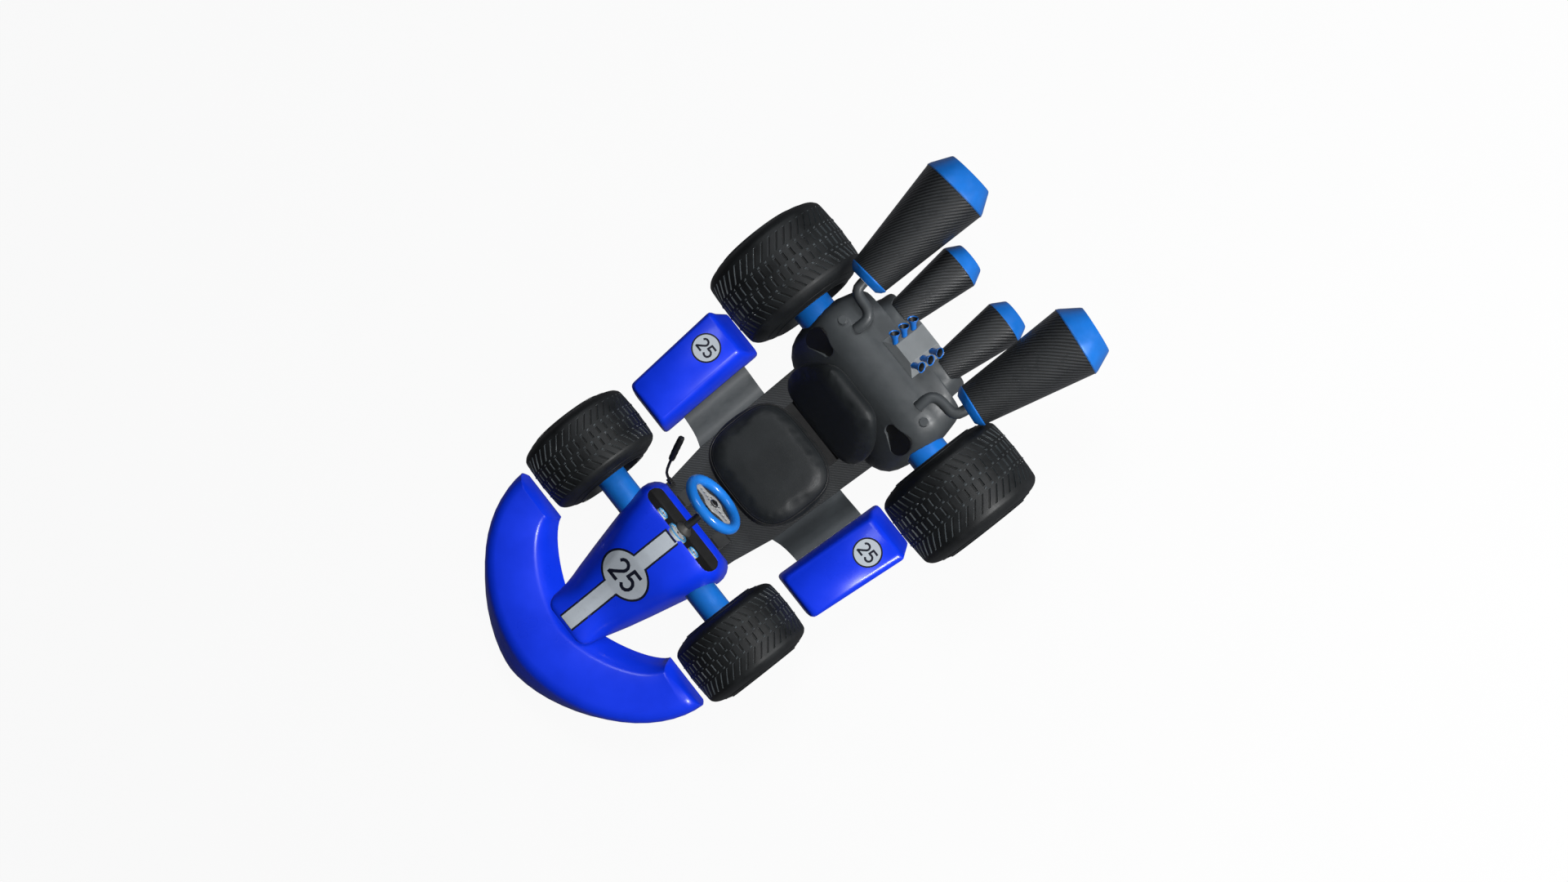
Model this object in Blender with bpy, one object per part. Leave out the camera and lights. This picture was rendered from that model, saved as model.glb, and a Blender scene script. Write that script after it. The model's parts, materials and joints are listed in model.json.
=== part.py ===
"""Kart chassis: carbon floor, nose hood, side pods, crescent bumper, rear engine
and four exhausts.

Metres, +Z up. The kart faces -Y and its left side is +X. Dimensions are taken
from a point on the ground about midway between the two axles; the last lines
move everything so that the origin is the middle of the footprint.
"""

import math

import bmesh
import bpy
from mathutils import Matrix, Vector

# ---------------------------------------------------------------- dimensions
WHEELBASE = 1.056
FOOTPRINT_CENTRE_Y = 0.0060197  # middle of the overall length
FRONT_Y = -0.525  # front axle
REAR_Y = FRONT_Y + WHEELBASE
GAP = 0.0004  # between fixed neighbours
RUN = 0.0008  # radial running clearance

FRONT_TYRE_R = 0.243  # also the height of the front axle
FRONT_TYRE_HALF = 0.150
FRONT_BEAD_R = 0.1283
FRONT_WHEEL_X = 0.493
REAR_TYRE_R = 0.285  # also the height of the rear axle
REAR_TYRE_HALF = 0.180
REAR_BEAD_R = 0.1503
REAR_WHEEL_X = 0.565
REAR_CENTRE = Vector((0, REAR_Y, REAR_TYRE_R))

BEAM_R = 0.063
BEAM_END_X = 0.425
KINGPIN_X = 0.455
KINGPIN_R = 0.0070
STUB_R = 0.0140
AXLE_R = 0.020
REAR_TUBE_R = 0.085
REAR_TUBE_ROOM_X = 0.300  # where the tube's pocket in the engine ends

FLOOR_BOTTOM = 0.034
FLOOR_TOP = 0.050
ON_FLOOR = FLOOR_TOP + GAP  # underside of what rests on the floor

PEDAL_PIVOT_Y, PEDAL_PIVOT_Z = -0.312, 0.068
PEDAL_X0, PEDAL_X1 = 0.078, 0.142

X_AXIS = Vector((1, 0, 0))
SIDES = (1, -1)  # left, right


# ------------------------------------------------------------------- helpers
def clear_scene():
    for obj in list(bpy.data.objects):
        bpy.data.objects.remove(obj, do_unlink=True)


def material(name, colour, roughness, metallic=0.0):
    made = bpy.data.materials.get(name)
    if made:
        return made
    made = bpy.data.materials.new(name)
    made.use_nodes = True
    shader = made.node_tree.nodes["Principled BSDF"]
    shader.inputs["Base Color"].default_value = (*colour, 1.0)
    shader.inputs["Roughness"].default_value = roughness
    shader.inputs["Metallic"].default_value = metallic
    return made


def outward(solid):
    bmesh.ops.recalc_face_normals(solid, faces=solid.faces)
    if solid.calc_volume(signed=True) < 0:
        bmesh.ops.reverse_faces(solid, faces=solid.faces)


def finish(solid, name, mat, origin=(0, 0, 0), sharp=35, split=False):
    """Turns a bmesh in world coordinates into an object whose origin is `origin`.
    `split` makes every face a triangle, so that curved skins cut cleanly."""
    bmesh.ops.remove_doubles(solid, verts=solid.verts, dist=1e-6)
    outward(solid)
    if split:
        bmesh.ops.triangulate(solid, faces=solid.faces)
    origin = Vector(origin)
    bmesh.ops.translate(solid, verts=solid.verts, vec=-origin)
    mesh = bpy.data.meshes.new(name)
    solid.to_mesh(mesh)
    solid.free()
    mesh.shade_smooth()
    mesh.set_sharp_from_angle(angle=math.radians(sharp))
    obj = bpy.data.objects.new(name, mesh)
    obj.location = origin
    if mat:
        mesh.materials.append(mat)
    bpy.context.scene.collection.objects.link(obj)
    return obj


def boolean(part, operation, solid, name, split):
    """Makes `solid` a hidden helper object and combines `part` with it."""
    other = finish(solid, name, None, split=split)
    other.hide_render = True
    other.display_type = "WIRE"
    modifier = part.modifiers.new(operation.lower(), "BOOLEAN")
    modifier.operation = operation
    modifier.solver = "EXACT"
    modifier.object = other


def cut(part, solid, name, split=False):
    boolean(part, "DIFFERENCE", solid, name, split)


def fuse(part, solid, name):
    boolean(part, "UNION", solid, name, False)


def keep(part, solid, name, split=False):
    boolean(part, "INTERSECT", solid, name, split)


def loft(rings):
    """A closed solid through rings of equal length, capped at both ends."""
    solid = bmesh.new()
    made = [[solid.verts.new(point) for point in ring] for ring in rings]
    count = len(made[0])
    for first, second in zip(made, made[1:]):
        for i in range(count):
            j = (i + 1) % count
            solid.faces.new((first[i], first[j], second[j], second[i]))
    solid.faces.new(made[0])
    solid.faces.new(made[-1])
    return solid


def basis(axis):
    """A rotation whose local Z is `axis`."""
    z = Vector(axis).normalized()
    x = Vector((0, 0, 1)).cross(z)
    if x.length < 1e-6:
        x = Vector((1, 0, 0))
    x.normalize()
    y = z.cross(x)
    return Matrix((x, y, z)).transposed()


def turned(profile, centre, axis, steps):
    """Spins a closed (distance along the axis, radius) outline round the axis."""
    solid = bmesh.new()
    ring = [solid.verts.new((radius, 0, along)) for along, radius in profile]
    edges = [
        solid.edges.new((start, end))
        for start, end in zip(ring, ring[1:] + ring[:1])
        if not (start.co.x == 0 and end.co.x == 0)
    ]
    bmesh.ops.spin(
        solid,
        geom=ring + edges,
        cent=(0, 0, 0),
        axis=(0, 0, 1),
        angle=math.tau,
        steps=steps,
        use_merge=True,
    )
    bmesh.ops.remove_doubles(solid, verts=solid.verts, dist=1e-6)
    turn = basis(axis)
    for vert in solid.verts:
        vert.co = turn @ vert.co + Vector(centre)
    solid.normal_update()
    return solid


def rod(start, end, radius, steps, end_radius=None):
    start, end = Vector(start), Vector(end)
    length = (end - start).length
    last = radius if end_radius is None else end_radius
    return turned([(0, 0), (0, radius), (length, last), (length, 0)], start, end - start, steps)


def stepped_pin(pin_half, pin_radius, boss_half, boss_radius):
    """Profile of a pin with a thicker middle."""
    half = [(pin_half, 0), (pin_half, pin_radius), (boss_half, pin_radius), (boss_half, boss_radius)]
    return half + [(-along, radius) for along, radius in reversed(half)]


def block(corner, opposite, bevel=0.0):
    """A box between two opposite corners, given in either order."""
    low = [min(pair) for pair in zip(Vector(corner), Vector(opposite))]
    high = [max(pair) for pair in zip(Vector(corner), Vector(opposite))]
    solid = bmesh.new()
    bmesh.ops.create_cube(solid, size=1.0)
    for vert in solid.verts:
        vert.co = Vector([low[i] + (vert.co[i] + 0.5) * (high[i] - low[i]) for i in range(3)])
    if bevel:
        bmesh.ops.bevel(
            solid, geom=list(solid.edges), offset=bevel, segments=1, profile=0.5, affect="EDGES"
        )
    return solid


def prism(outline, low, high):
    """A flat outline in XY carried from z = low to z = high."""
    return loft([[(x, y, z) for x, y in outline] for z in (low, high)])


def extruded_x(outline, half):
    """A flat outline in YZ carried from x = -half to x = half."""
    return loft([[(x, y, z) for y, z in outline] for x in (-half, half)])


def swept(path, radius, steps):
    """A round bar along a path of points, with the rings kept square to it.
    `radius` is one number, or one for each point."""
    points = [Vector(point) for point in path]
    sizes = radius if isinstance(radius, (list, tuple)) else [radius] * len(points)
    rings = []
    side = None
    for i, (point, size) in enumerate(zip(points, sizes)):
        ahead = points[min(i + 1, len(points) - 1)] - points[max(i - 1, 0)]
        ahead.normalize()
        if side is None:
            side = ahead.cross(Vector((0, 0, 1))).normalized()
        side = (side - ahead * side.dot(ahead)).normalized()
        other = ahead.cross(side)
        rings.append(
            [
                point
                + side * (size * math.cos(math.tau * k / steps))
                + other * (size * math.sin(math.tau * k / steps))
                for k in range(steps)
            ]
        )
    return loft(rings)


def smooth_path(points, per):
    """A Catmull-Rom curve through the points, `per` steps to each stretch."""
    knots = [Vector(point) for point in points]
    knots = [2 * knots[0] - knots[1]] + knots + [2 * knots[-1] - knots[-2]]
    path = []
    for before, start, end, after in zip(knots, knots[1:], knots[2:], knots[3:]):
        for k in range(per):
            share = k / per
            path.append(
                0.5
                * (
                    2 * start
                    + (end - before) * share
                    + (2 * before - 5 * start + 4 * end - after) * share * share
                    + (3 * start - before - 3 * end + after) * share**3
                )
            )
    path.append(knots[-2])
    return path


def interpolate(rows, key):
    """Reads a table of (key, values...) rows at a key, straight between rows."""
    if key <= rows[0][0]:
        return rows[0][1:]
    for low, high in zip(rows, rows[1:]):
        if key <= high[0]:
            share = (key - low[0]) / (high[0] - low[0])
            return tuple(start + (end - start) * share for start, end in zip(low[1:], high[1:]))
    return rows[-1][1:]


def power(value, exponent):
    """A power that keeps the sign, for superellipses."""
    return math.copysign(abs(value) ** exponent, value)


def side_of(sign):
    return "l" if sign > 0 else "r"


def across(point, sign):
    """A left-hand point, or its mirror image when `sign` is -1."""
    return Vector((point[0] * sign, point[1], point[2]))


clear_scene()

BLUE = material("body_blue", colour=(0.012, 0.050, 0.780), roughness=0.22)
ACCENT = material("accent_blue", colour=(0.020, 0.160, 0.640), roughness=0.30)
WHEEL_BLUE = material("wheel_blue", colour=(0.020, 0.230, 0.860), roughness=0.28)
CARBON = material("carbon", colour=(0.020, 0.023, 0.026), roughness=0.38)
RUBBER = material("tyre_rubber", colour=(0.014, 0.014, 0.014), roughness=0.72)
RIM = material("wheel_metal", colour=(0.045, 0.047, 0.050), roughness=0.42, metallic=0.8)
ENGINE = material("engine_grey", colour=(0.080, 0.088, 0.094), roughness=0.42)
WING = material("wing_grey", colour=(0.066, 0.073, 0.078), roughness=0.45)
COVER = material("cover_grey", colour=(0.240, 0.255, 0.265), roughness=0.38)
VINYL = material("seat_vinyl", colour=(0.018, 0.020, 0.023), roughness=0.50)
BLACK = material("black_plastic", colour=(0.012, 0.011, 0.010), roughness=0.60)
STEEL = material("steel", colour=(0.45, 0.45, 0.46), roughness=0.32, metallic=1.0)
DARK_METAL = material("dark_metal", colour=(0.060, 0.058, 0.054), roughness=0.45, metallic=0.7)
WHITE_PLATE = material("spoke_white", colour=(0.780, 0.780, 0.760), roughness=0.30, metallic=0.3)
DIAL = material("dial", colour=(0.700, 0.850, 0.920), roughness=0.25)


# --------------------------------------------------------------------- floor
# y, half width
FLOOR_EDGE = (
    (-0.960, 0.110), (-0.900, 0.128), (-0.800, 0.156), (-0.620, 0.186),
    (-0.450, 0.2045), (-0.345, 0.2125), (-0.170, 0.2405), (0.178, 0.2525),
    (0.352, 0.2585), (0.372, 0.2000), (0.640, 0.2000),
)
EAR_THICK = 0.005  # the ears that hold the pedals
EAR_HALF_Y = 0.010
EAR_TOP = 0.078
PEDAL_BORE_R = 0.0045


def make_floor():
    right = [(-half, y) for y, half in FLOOR_EDGE]
    left = [(half, y) for y, half in reversed(FLOOR_EDGE)]
    floor = finish(prism(right + left, FLOOR_BOTTOM, FLOOR_TOP), "floor_pan", CARBON)
    for sign in SIDES:
        side = side_of(sign)
        tongue = block((0.058 * sign, -1.100, 0.0440), (0.100 * sign, -0.900, 0.0744))
        fuse(floor, tongue, f"guide_tongue_{side}")
        for edge in (PEDAL_X0 - 0.0058, PEDAL_X1 + 0.0008):
            ear = block(
                (edge * sign, PEDAL_PIVOT_Y - EAR_HALF_Y, FLOOR_TOP - 0.006),
                ((edge + EAR_THICK) * sign, PEDAL_PIVOT_Y + EAR_HALF_Y, EAR_TOP),
            )
            fuse(floor, ear, f"guide_ear_{side}_{int(edge * 1000)}")
        bore = rod(
            (0.060 * sign, PEDAL_PIVOT_Y, PEDAL_PIVOT_Z),
            (0.160 * sign, PEDAL_PIVOT_Y, PEDAL_PIVOT_Z),
            PEDAL_BORE_R, 12,
        )
        cut(floor, bore, f"cutter_pedal_bore_{side}")


# ------------------------------------------------------- side wings and pods
# share of the way from floor to pod, front y, share of the rise
WING_COLUMNS = (
    (0.0, -0.1690, 0.0), (0.12, -0.1630, 0.03), (0.28, -0.1560, 0.16), (0.50, -0.1505, 0.50),
    (0.72, -0.1475, 0.84), (0.88, -0.1460, 0.97), (1.0, -0.1450, 1.0),
)
WING_REAR_Y = 0.1775
WING_TOP, WING_RISE, WING_THICK = 0.0505, 0.068, 0.016

# z, then (x, y) of the corners: inner front, outer front, outer rear, inner rear
POD_LEVELS = (
    (0.062, (0.380, -0.236), (0.562, -0.236), (0.586, 0.246), (0.400, 0.246)),
    (0.085, (0.3695, -0.246), (0.574, -0.246), (0.598, 0.257), (0.3900, 0.257)),
    (0.142, (0.3725, -0.246), (0.583, -0.246), (0.604, 0.254), (0.3930, 0.254)),
    (0.180, (0.3765, -0.244), (0.592, -0.244), (0.628, 0.218), (0.3990, 0.222)),
    (0.240, (0.3920, -0.239), (0.596, -0.240), (0.636, 0.203), (0.4200, 0.203)),
    (0.256, (0.4080, -0.226), (0.583, -0.227), (0.620, 0.188), (0.4360, 0.188)),
)
POD_CORNER = 0.020  # length of each side taken up by a rounded corner


def pod_inner_x(y):
    """The side pod's inner wall at the height where the wing meets it."""
    return 0.3701 + (y + 0.246) / 0.503 * 0.0205


def make_wing(sign):
    rings = []
    for share, front, rise in WING_COLUMNS:
        upper, lower = [], []
        z = WING_TOP + WING_RISE * rise
        for k in range(7):
            y = front + (WING_REAR_Y - front) * k / 6
            inner = interpolate(FLOOR_EDGE, y)[0] + GAP
            outer = pod_inner_x(y) - GAP
            x = inner + (outer - inner) * share
            upper.append((x * sign, y, z))
            lower.append((x * sign, y, z - WING_THICK))
        rings.append(upper + lower[::-1])
    finish(loft(rings), f"side_wing_{side_of(sign)}", WING, sharp=50)


def make_pod(sign):
    rings = []
    for z, *corners in POD_LEVELS:
        ring = []
        for i, corner in enumerate(corners):
            before, after = Vector(corners[i - 1]), Vector(corners[(i + 1) % 4])
            here = Vector(corner)
            start = here + (before - here).normalized() * POD_CORNER
            end = here + (after - here).normalized() * POD_CORNER
            for k in range(4):
                share = k / 3
                point = (
                    start * (1 - share) ** 2
                    + here * 2 * share * (1 - share)
                    + end * share**2
                )
                ring.append((point.x * sign, point.y, z))
        rings.append(ring)
    finish(loft(rings), f"side_pod_{side_of(sign)}", BLUE, sharp=60)


# -------------------------------------------------------------------- bumper
# the bumper's section: half width, depth, centre y, height, roundness
BUMPER_ROWS = (
    (0.578, 0.505, -0.790, 0.0750, 1.74),
    (0.587, 0.522, -0.794, 0.0850, 1.71),
    (0.592, 0.530, -0.798, 0.1020, 1.70),
    (0.595, 0.522, -0.800, 0.1250, 1.72),
    (0.596, 0.498, -0.803, 0.1520, 1.79),
    (0.588, 0.470, -0.810, 0.1800, 1.87),
    (0.564, 0.440, -0.823, 0.2030, 1.88),
    (0.532, 0.395, -0.834, 0.2125, 1.85),
    (0.402, 0.243, -0.836, 0.2140, 1.62),
    (0.386, 0.226, -0.832, 0.2060, 1.60),
    (0.371, 0.203, -0.812, 0.1450, 1.45),
    (0.362, 0.190, -0.790, 0.0900, 1.40),
    (0.372, 0.203, -0.790, 0.0750, 1.42),
)


def bumper_ring(turn):
    """The section at an angle from straight ahead."""
    ring = []
    for half, depth, centre, z, roundness in BUMPER_ROWS:
        x = half * power(math.sin(turn), 2 / roundness)
        y = centre - depth * abs(math.cos(turn)) ** (2 / roundness)
        ring.append((x, y, z))
    return ring


def make_bumper():
    steps = 32
    rings = [bumper_ring(math.pi * (k / steps - 0.5)) for k in range(steps + 1)]
    finish(loft(rings), "front_bumper", BLUE, sharp=50)


# ------------------------------------------------------------ nose and gauges
# y, half width, height of the ridge, height of the lower edge
NOSE = (
    (-1.040, 0.080, 0.2290, 0.2190),
    (-1.034, 0.098, 0.2345, 0.2170),
    (-1.020, 0.113, 0.2400, 0.2050),
    (-1.000, 0.123, 0.2450, 0.1740),
    (-0.975, 0.127, 0.2500, 0.1380),
    (-0.940, 0.135, 0.2570, 0.0880),
    (-0.900, 0.146, 0.2650, 0.0600),
    (-0.850, 0.160, 0.2780, 0.0550),
    (-0.800, 0.172, 0.2960, 0.0550),
    (-0.750, 0.184, 0.3220, 0.0550),
    (-0.700, 0.195, 0.3500, 0.0550),
    (-0.650, 0.206, 0.3760, 0.0550),
    (-0.600, 0.217, 0.3940, 0.0550),
    (-0.550, 0.228, 0.4030, 0.0550),
    (-0.500, 0.238, 0.4080, 0.0550),
    (-0.470, 0.244, 0.4090, 0.0550),
    (-0.450, 0.246, 0.4040, 0.0550),
    (-0.425, 0.244, 0.3790, 0.0550),
    (-0.400, 0.234, 0.3400, 0.0550),
    (-0.382, 0.219, 0.3180, 0.0550),
    (-0.369, 0.198, 0.3030, 0.0550),
)
NOSE_SKIN = 0.007
NOSE_OPEN_BELOW = 0.03  # how far the hollow runs below the lower edge
NOSE_LIP = 0.030  # how far the rear rim stands in
NOSE_LIP_Y = -0.3885
SLOT_FRONT, SLOT_BACK, SLOT_HALF_X = -0.4620, -0.3950, 0.204

GAUGE_TILT = math.radians(14)
GAUGE_AXIS = Vector((0, math.cos(GAUGE_TILT), math.sin(GAUGE_TILT)))
GAUGE_UP = Vector((0, -math.sin(GAUGE_TILT), math.cos(GAUGE_TILT)))
GAUGE_FACE_Y, GAUGE_FACE_Z = -0.4520, 0.370  # a point on the plane of the faces
GAUGE_DEPTH = 0.014
# name, x, z, radius
GAUGES = (
    ("gauge_c", 0.0, 0.3720, 0.0480),
    ("gauge_l", 0.0985, 0.3640, 0.0260),
    ("gauge_r", -0.0985, 0.3640, 0.0260),
)
SHELF_TOP = 0.2430
DASH_LOW = 0.2375


def nose_ring(row, inset=0.0, drop=0.0):
    """An arch over the kart, squarer towards the rear."""
    steps = 14
    y, half, top, low = row
    half, top, low = half - inset, top - inset, low - drop
    exponent = 2.3 + 2.2 * min(1.0, max(0.0, (y + 0.90) / 0.36))
    ring = []
    for k in range(steps + 1):
        turn = math.pi * k / steps
        x = half * power(math.cos(turn), 2 / exponent)
        z = low + (top - low) * abs(math.sin(turn)) ** (2 / exponent)
        ring.append((x, y, z))
    return ring


def nose_inside(inset):
    """The hollow of the nose, `inset` inside its outer surface."""
    first, *others = [row for row in NOSE if -1.021 < row[0] < -0.44]
    y, half, top, low = first
    rows = [(y + 0.004, half - 0.010, top - 0.004, low)] + others
    rows += [(y, *interpolate(NOSE, y)) for y in (-0.425, -0.400, NOSE_LIP_Y)]
    rings = [nose_ring(row, inset, NOSE_OPEN_BELOW) for row in rows]
    # inside the rear rim the opening is smaller all round
    lip = interpolate(NOSE, NOSE_LIP_Y)
    for y in (-0.3880, -0.3500):
        rings.append(nose_ring((y, *lip), inset + NOSE_LIP, NOSE_OPEN_BELOW))
    return loft(rings)


def slot_outline():
    """The slot across the top, with round ends."""
    radius = (SLOT_BACK - SLOT_FRONT) / 2
    middle = (SLOT_FRONT + SLOT_BACK) / 2
    outline = []
    for sign in SIDES:
        for k in range(9):
            turn = math.pi * (k / 8 - 0.5) + (0 if sign > 0 else math.pi)
            x = sign * (SLOT_HALF_X - radius) + radius * math.cos(turn)
            outline.append((x, middle + radius * math.sin(turn)))
    return outline


def beam_arch():
    """Outline in YZ of the notch that drops over the front axle tube."""
    radius = BEAM_R + GAP
    arch = [(FRONT_Y - radius, 0.020), (FRONT_Y + radius, 0.020)]
    for k in range(17):
        turn = math.pi * k / 16
        arch.append((FRONT_Y + radius * math.cos(turn), FRONT_TYRE_R + radius * math.sin(turn)))
    return arch


def gauge_centre(x, z):
    """The faces share one plane, whose top leans forward a little."""
    return Vector((x, GAUGE_FACE_Y - (z - GAUGE_FACE_Z) * math.tan(GAUGE_TILT), z))


def make_nose():
    nose = finish(loft([nose_ring(row) for row in NOSE]), "nose_cone", BLUE, sharp=50, split=True)
    cut(nose, nose_inside(NOSE_SKIN), "cutter_nose_inside", split=True)
    cut(nose, prism(slot_outline(), 0.150, 0.480), "cutter_slot")
    cut(nose, extruded_x(beam_arch(), 0.4), "cutter_nose_beam")
    for name, x, z, radius in GAUGES:
        centre = gauge_centre(x, z)
        room = rod(centre - GAUGE_AXIS * 0.016, centre + GAUGE_AXIS * 0.03, radius + 0.001, 22)
        cut(nose, room, f"cutter_nose_{name}")


def make_dash():
    """A leaning panel behind the gauges, with a shelf, trimmed to the nose's inside."""
    centre = Vector((0, GAUGE_FACE_Y, GAUGE_FACE_Z)) - GAUGE_AXIS * (GAUGE_DEPTH + 0.003)
    width, height, thick = 0.46, 0.28, 0.005
    panel = bmesh.new()
    bmesh.ops.create_cube(panel, size=1.0)
    for vert in panel.verts:
        vert.co = (
            centre
            + X_AXIS * (vert.co.x * width)
            + GAUGE_UP * (vert.co.z * height)
            + GAUGE_AXIS * (vert.co.y * thick)
        )
    dash = finish(panel, "dash_panel", BLACK)
    fuse(dash, block((-0.23, -0.460, 0.2350), (0.23, -0.3950, SHELF_TOP)), "guide_shelf")
    keep(dash, nose_inside(NOSE_SKIN + GAP), "guide_dash_room", split=True)
    cut(dash, block((-0.3, -0.60, 0.10), (0.3, -0.30, DASH_LOW)), "cutter_dash_low")


def make_gauges():
    for name, x, z, radius in GAUGES:
        profile = [
            (-GAUGE_DEPTH, 0), (-GAUGE_DEPTH, radius * 0.96), (-0.0010, radius),
            (0.0030, radius * 0.93), (0.0025, radius * 0.87), (0, radius * 0.84), (0, 0),
        ]
        finish(turned(profile, gauge_centre(x, z), GAUGE_AXIS, 20), name, DIAL)


# ------------------------------------------------------------------ steering
WHEEL_CENTRE = Vector((0.0, -0.273, 0.410))
WHEEL_TILT = math.radians(24.5)  # the column's rise above level
COLUMN_AXIS = Vector((0, math.cos(WHEEL_TILT), math.sin(WHEEL_TILT)))
COLUMN_UP = Vector((0, -math.sin(WHEEL_TILT), math.cos(WHEEL_TILT)))
WHEEL_MAJOR = 0.1205
WHEEL_MINOR = 0.0220
SHAFT_R = 0.0160
SHAFT_LENGTH = 0.164
SPOKE_HALF_THICK = 0.0025
HUB_FACE = 0.0029  # where the button and the shaft meet the spoke plate

# one quarter of the spoke plate, from the end inwards: x, distance up
SPOKE_QUARTER = (
    (0.0978, 0.006), (0.0955, 0.0175), (0.0905, 0.0235),
    (0.052, 0.0275), (0.030, 0.044), (0.014, 0.0515),
)
# profiles below: distance from the wheel's centre towards the driver, radius
HORN_PROFILE = (
    (HUB_FACE, 0), (HUB_FACE, 0.0190), (0.0075, 0.0190), (0.0105, 0.0150), (0.0115, 0),
)
SHAFT_PROFILE = (
    (-SHAFT_LENGTH, 0), (-SHAFT_LENGTH, SHAFT_R), (-0.0180, SHAFT_R),
    (-0.0100, 0.0330), (-HUB_FACE, 0.0330), (-HUB_FACE, 0),
)
COLLAR_PROFILE = (
    (-0.1660, SHAFT_R + RUN), (-0.1660, 0), (-0.1720, 0), (-0.1720, 0.0380),
    (-0.1640, 0.0380), (-0.1500, 0.0220), (-0.1450, 0.0195), (-0.1450, SHAFT_R + RUN),
)


def column(along, x=0.0, up=0.0):
    """A point `along` the column from the wheel's centre, towards the driver."""
    return WHEEL_CENTRE + COLUMN_AXIS * along + COLUMN_UP * up + X_AXIS * x


def make_steering_rim():
    steps, around = 32, 10
    solid = bmesh.new()
    rings = []
    for i in range(steps):
        turn = math.tau * i / steps
        centre_x, centre_up = WHEEL_MAJOR * math.cos(turn), WHEEL_MAJOR * math.sin(turn)
        ring = []
        for k in range(around):
            bend = math.tau * k / around
            reach = 1 + WHEEL_MINOR * math.cos(bend) / WHEEL_MAJOR
            point = column(WHEEL_MINOR * math.sin(bend), centre_x * reach, centre_up * reach)
            ring.append(solid.verts.new(point))
        rings.append(ring)
    for i in range(steps):
        first, second = rings[i], rings[(i + 1) % steps]
        for k in range(around):
            j = (k + 1) % around
            solid.faces.new((first[k], first[j], second[j], second[k]))
    finish(solid, "steering_rim", WHEEL_BLUE, WHEEL_CENTRE, sharp=80)


def make_steering_spokes():
    half = list(SPOKE_QUARTER) + [(-x, up) for x, up in reversed(SPOKE_QUARTER)]
    outline = half + [(-x, -up) for x, up in half]
    faces = (-SPOKE_HALF_THICK, SPOKE_HALF_THICK)
    plate = loft([[column(along, x, up) for x, up in outline] for along in faces])
    finish(plate, "steering_spokes", WHITE_PLATE, WHEEL_CENTRE)


def make_steering_column():
    for name, profile, mat in (
        ("horn_button", HORN_PROFILE, BLACK),
        ("steering_shaft", SHAFT_PROFILE, DARK_METAL),
    ):
        finish(turned(list(profile), WHEEL_CENTRE, COLUMN_AXIS, 20), name, mat, WHEEL_CENTRE)

    collar = turned(COLLAR_PROFILE, WHEEL_CENTRE, COLUMN_AXIS, 24)
    bracket = finish(collar, "column_bracket", DARK_METAL)
    foot = column(-0.160)
    strut = block(
        (-0.014, foot.y - 0.010, SHELF_TOP + GAP), (0.014, foot.y + 0.012, foot.z - 0.028)
    )
    fuse(bracket, strut, "guide_strut")


# ---------------------------------------------------------------- front axle
# distance outboard from the kingpin, radius
STUB_PROFILE = (
    (0.100, 0), (0.100, STUB_R), (0.0285, STUB_R), (0.0285, 0.0210),
    (0.020, 0.0210), (0.020, STUB_R), (0.0, STUB_R), (0.0, 0),
)


def make_beam():
    """The front axle tube, with a yoke of two ears at each end."""
    centre = Vector((0, FRONT_Y, FRONT_TYRE_R))
    tube = rod(centre - X_AXIS * BEAM_END_X, centre + X_AXIS * BEAM_END_X, BEAM_R, 32)
    beam = finish(tube, "front_axle_beam", ACCENT)
    for sign in SIDES:
        side = side_of(sign)
        for level in (1, -1):
            ear = block(
                ((BEAM_END_X - 0.01) * sign, FRONT_Y - 0.022, FRONT_TYRE_R + 0.0375 * level),
                ((KINGPIN_X + 0.019) * sign, FRONT_Y + 0.022, FRONT_TYRE_R + 0.0500 * level),
            )
            fuse(beam, ear, f"guide_yoke_{side}_{level + 1}")
        x = KINGPIN_X * sign
        low, high = FRONT_TYRE_R - 0.06, FRONT_TYRE_R + 0.06
        bore = rod((x, FRONT_Y, low), (x, FRONT_Y, high), KINGPIN_R + RUN, 12)
        cut(beam, bore, f"cutter_kingpin_{side}")


def make_saddle():
    body = block(
        (-0.120, FRONT_Y - 0.080, ON_FLOOR), (0.120, FRONT_Y + 0.038, 0.2340), bevel=0.006
    )
    saddle = finish(body, "axle_saddle", DARK_METAL)
    room = rod((-0.2, FRONT_Y, FRONT_TYRE_R), (0.2, FRONT_Y, FRONT_TYRE_R), BEAM_R + GAP, 32)
    cut(saddle, room, "cutter_saddle")


def make_knuckle(sign):
    side = side_of(sign)
    centre = Vector((KINGPIN_X * sign, FRONT_Y, FRONT_TYRE_R))
    pin = turned(stepped_pin(0.049, KINGPIN_R, 0.0362, 0.0165), centre, (0, 0, 1), 16)
    knuckle = finish(pin, f"knuckle_{side}", STEEL, centre)
    fuse(knuckle, turned(STUB_PROFILE, centre, (sign, 0, 0), 16), f"guide_stub_{side}")


# -------------------------------------------------------------------- wheels
# half sections from the bead out: (distance from the middle, radius)
FRONT_SECTION = (
    (0.116, FRONT_BEAD_R), (0.1480, 0.1340), (FRONT_TYRE_HALF, 0.1500), (0.1400, 0.1850),
    (0.1305, 0.2120), (0.1180, 0.2295), (0.0950, 0.2385), (0.0, FRONT_TYRE_R),
)
REAR_SECTION = (
    (0.140, REAR_BEAD_R), (0.1780, 0.1570), (REAR_TYRE_HALF, 0.1755), (0.1695, 0.2170),
    (0.1595, 0.2485), (0.1440, 0.2690), (0.1160, 0.2795), (0.0, REAR_TYRE_R),
)


def tyre_profile(section):
    """The half section and its mirror image."""
    return list(section) + [(-along, radius) for along, radius in reversed(section[:-1])]


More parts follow.
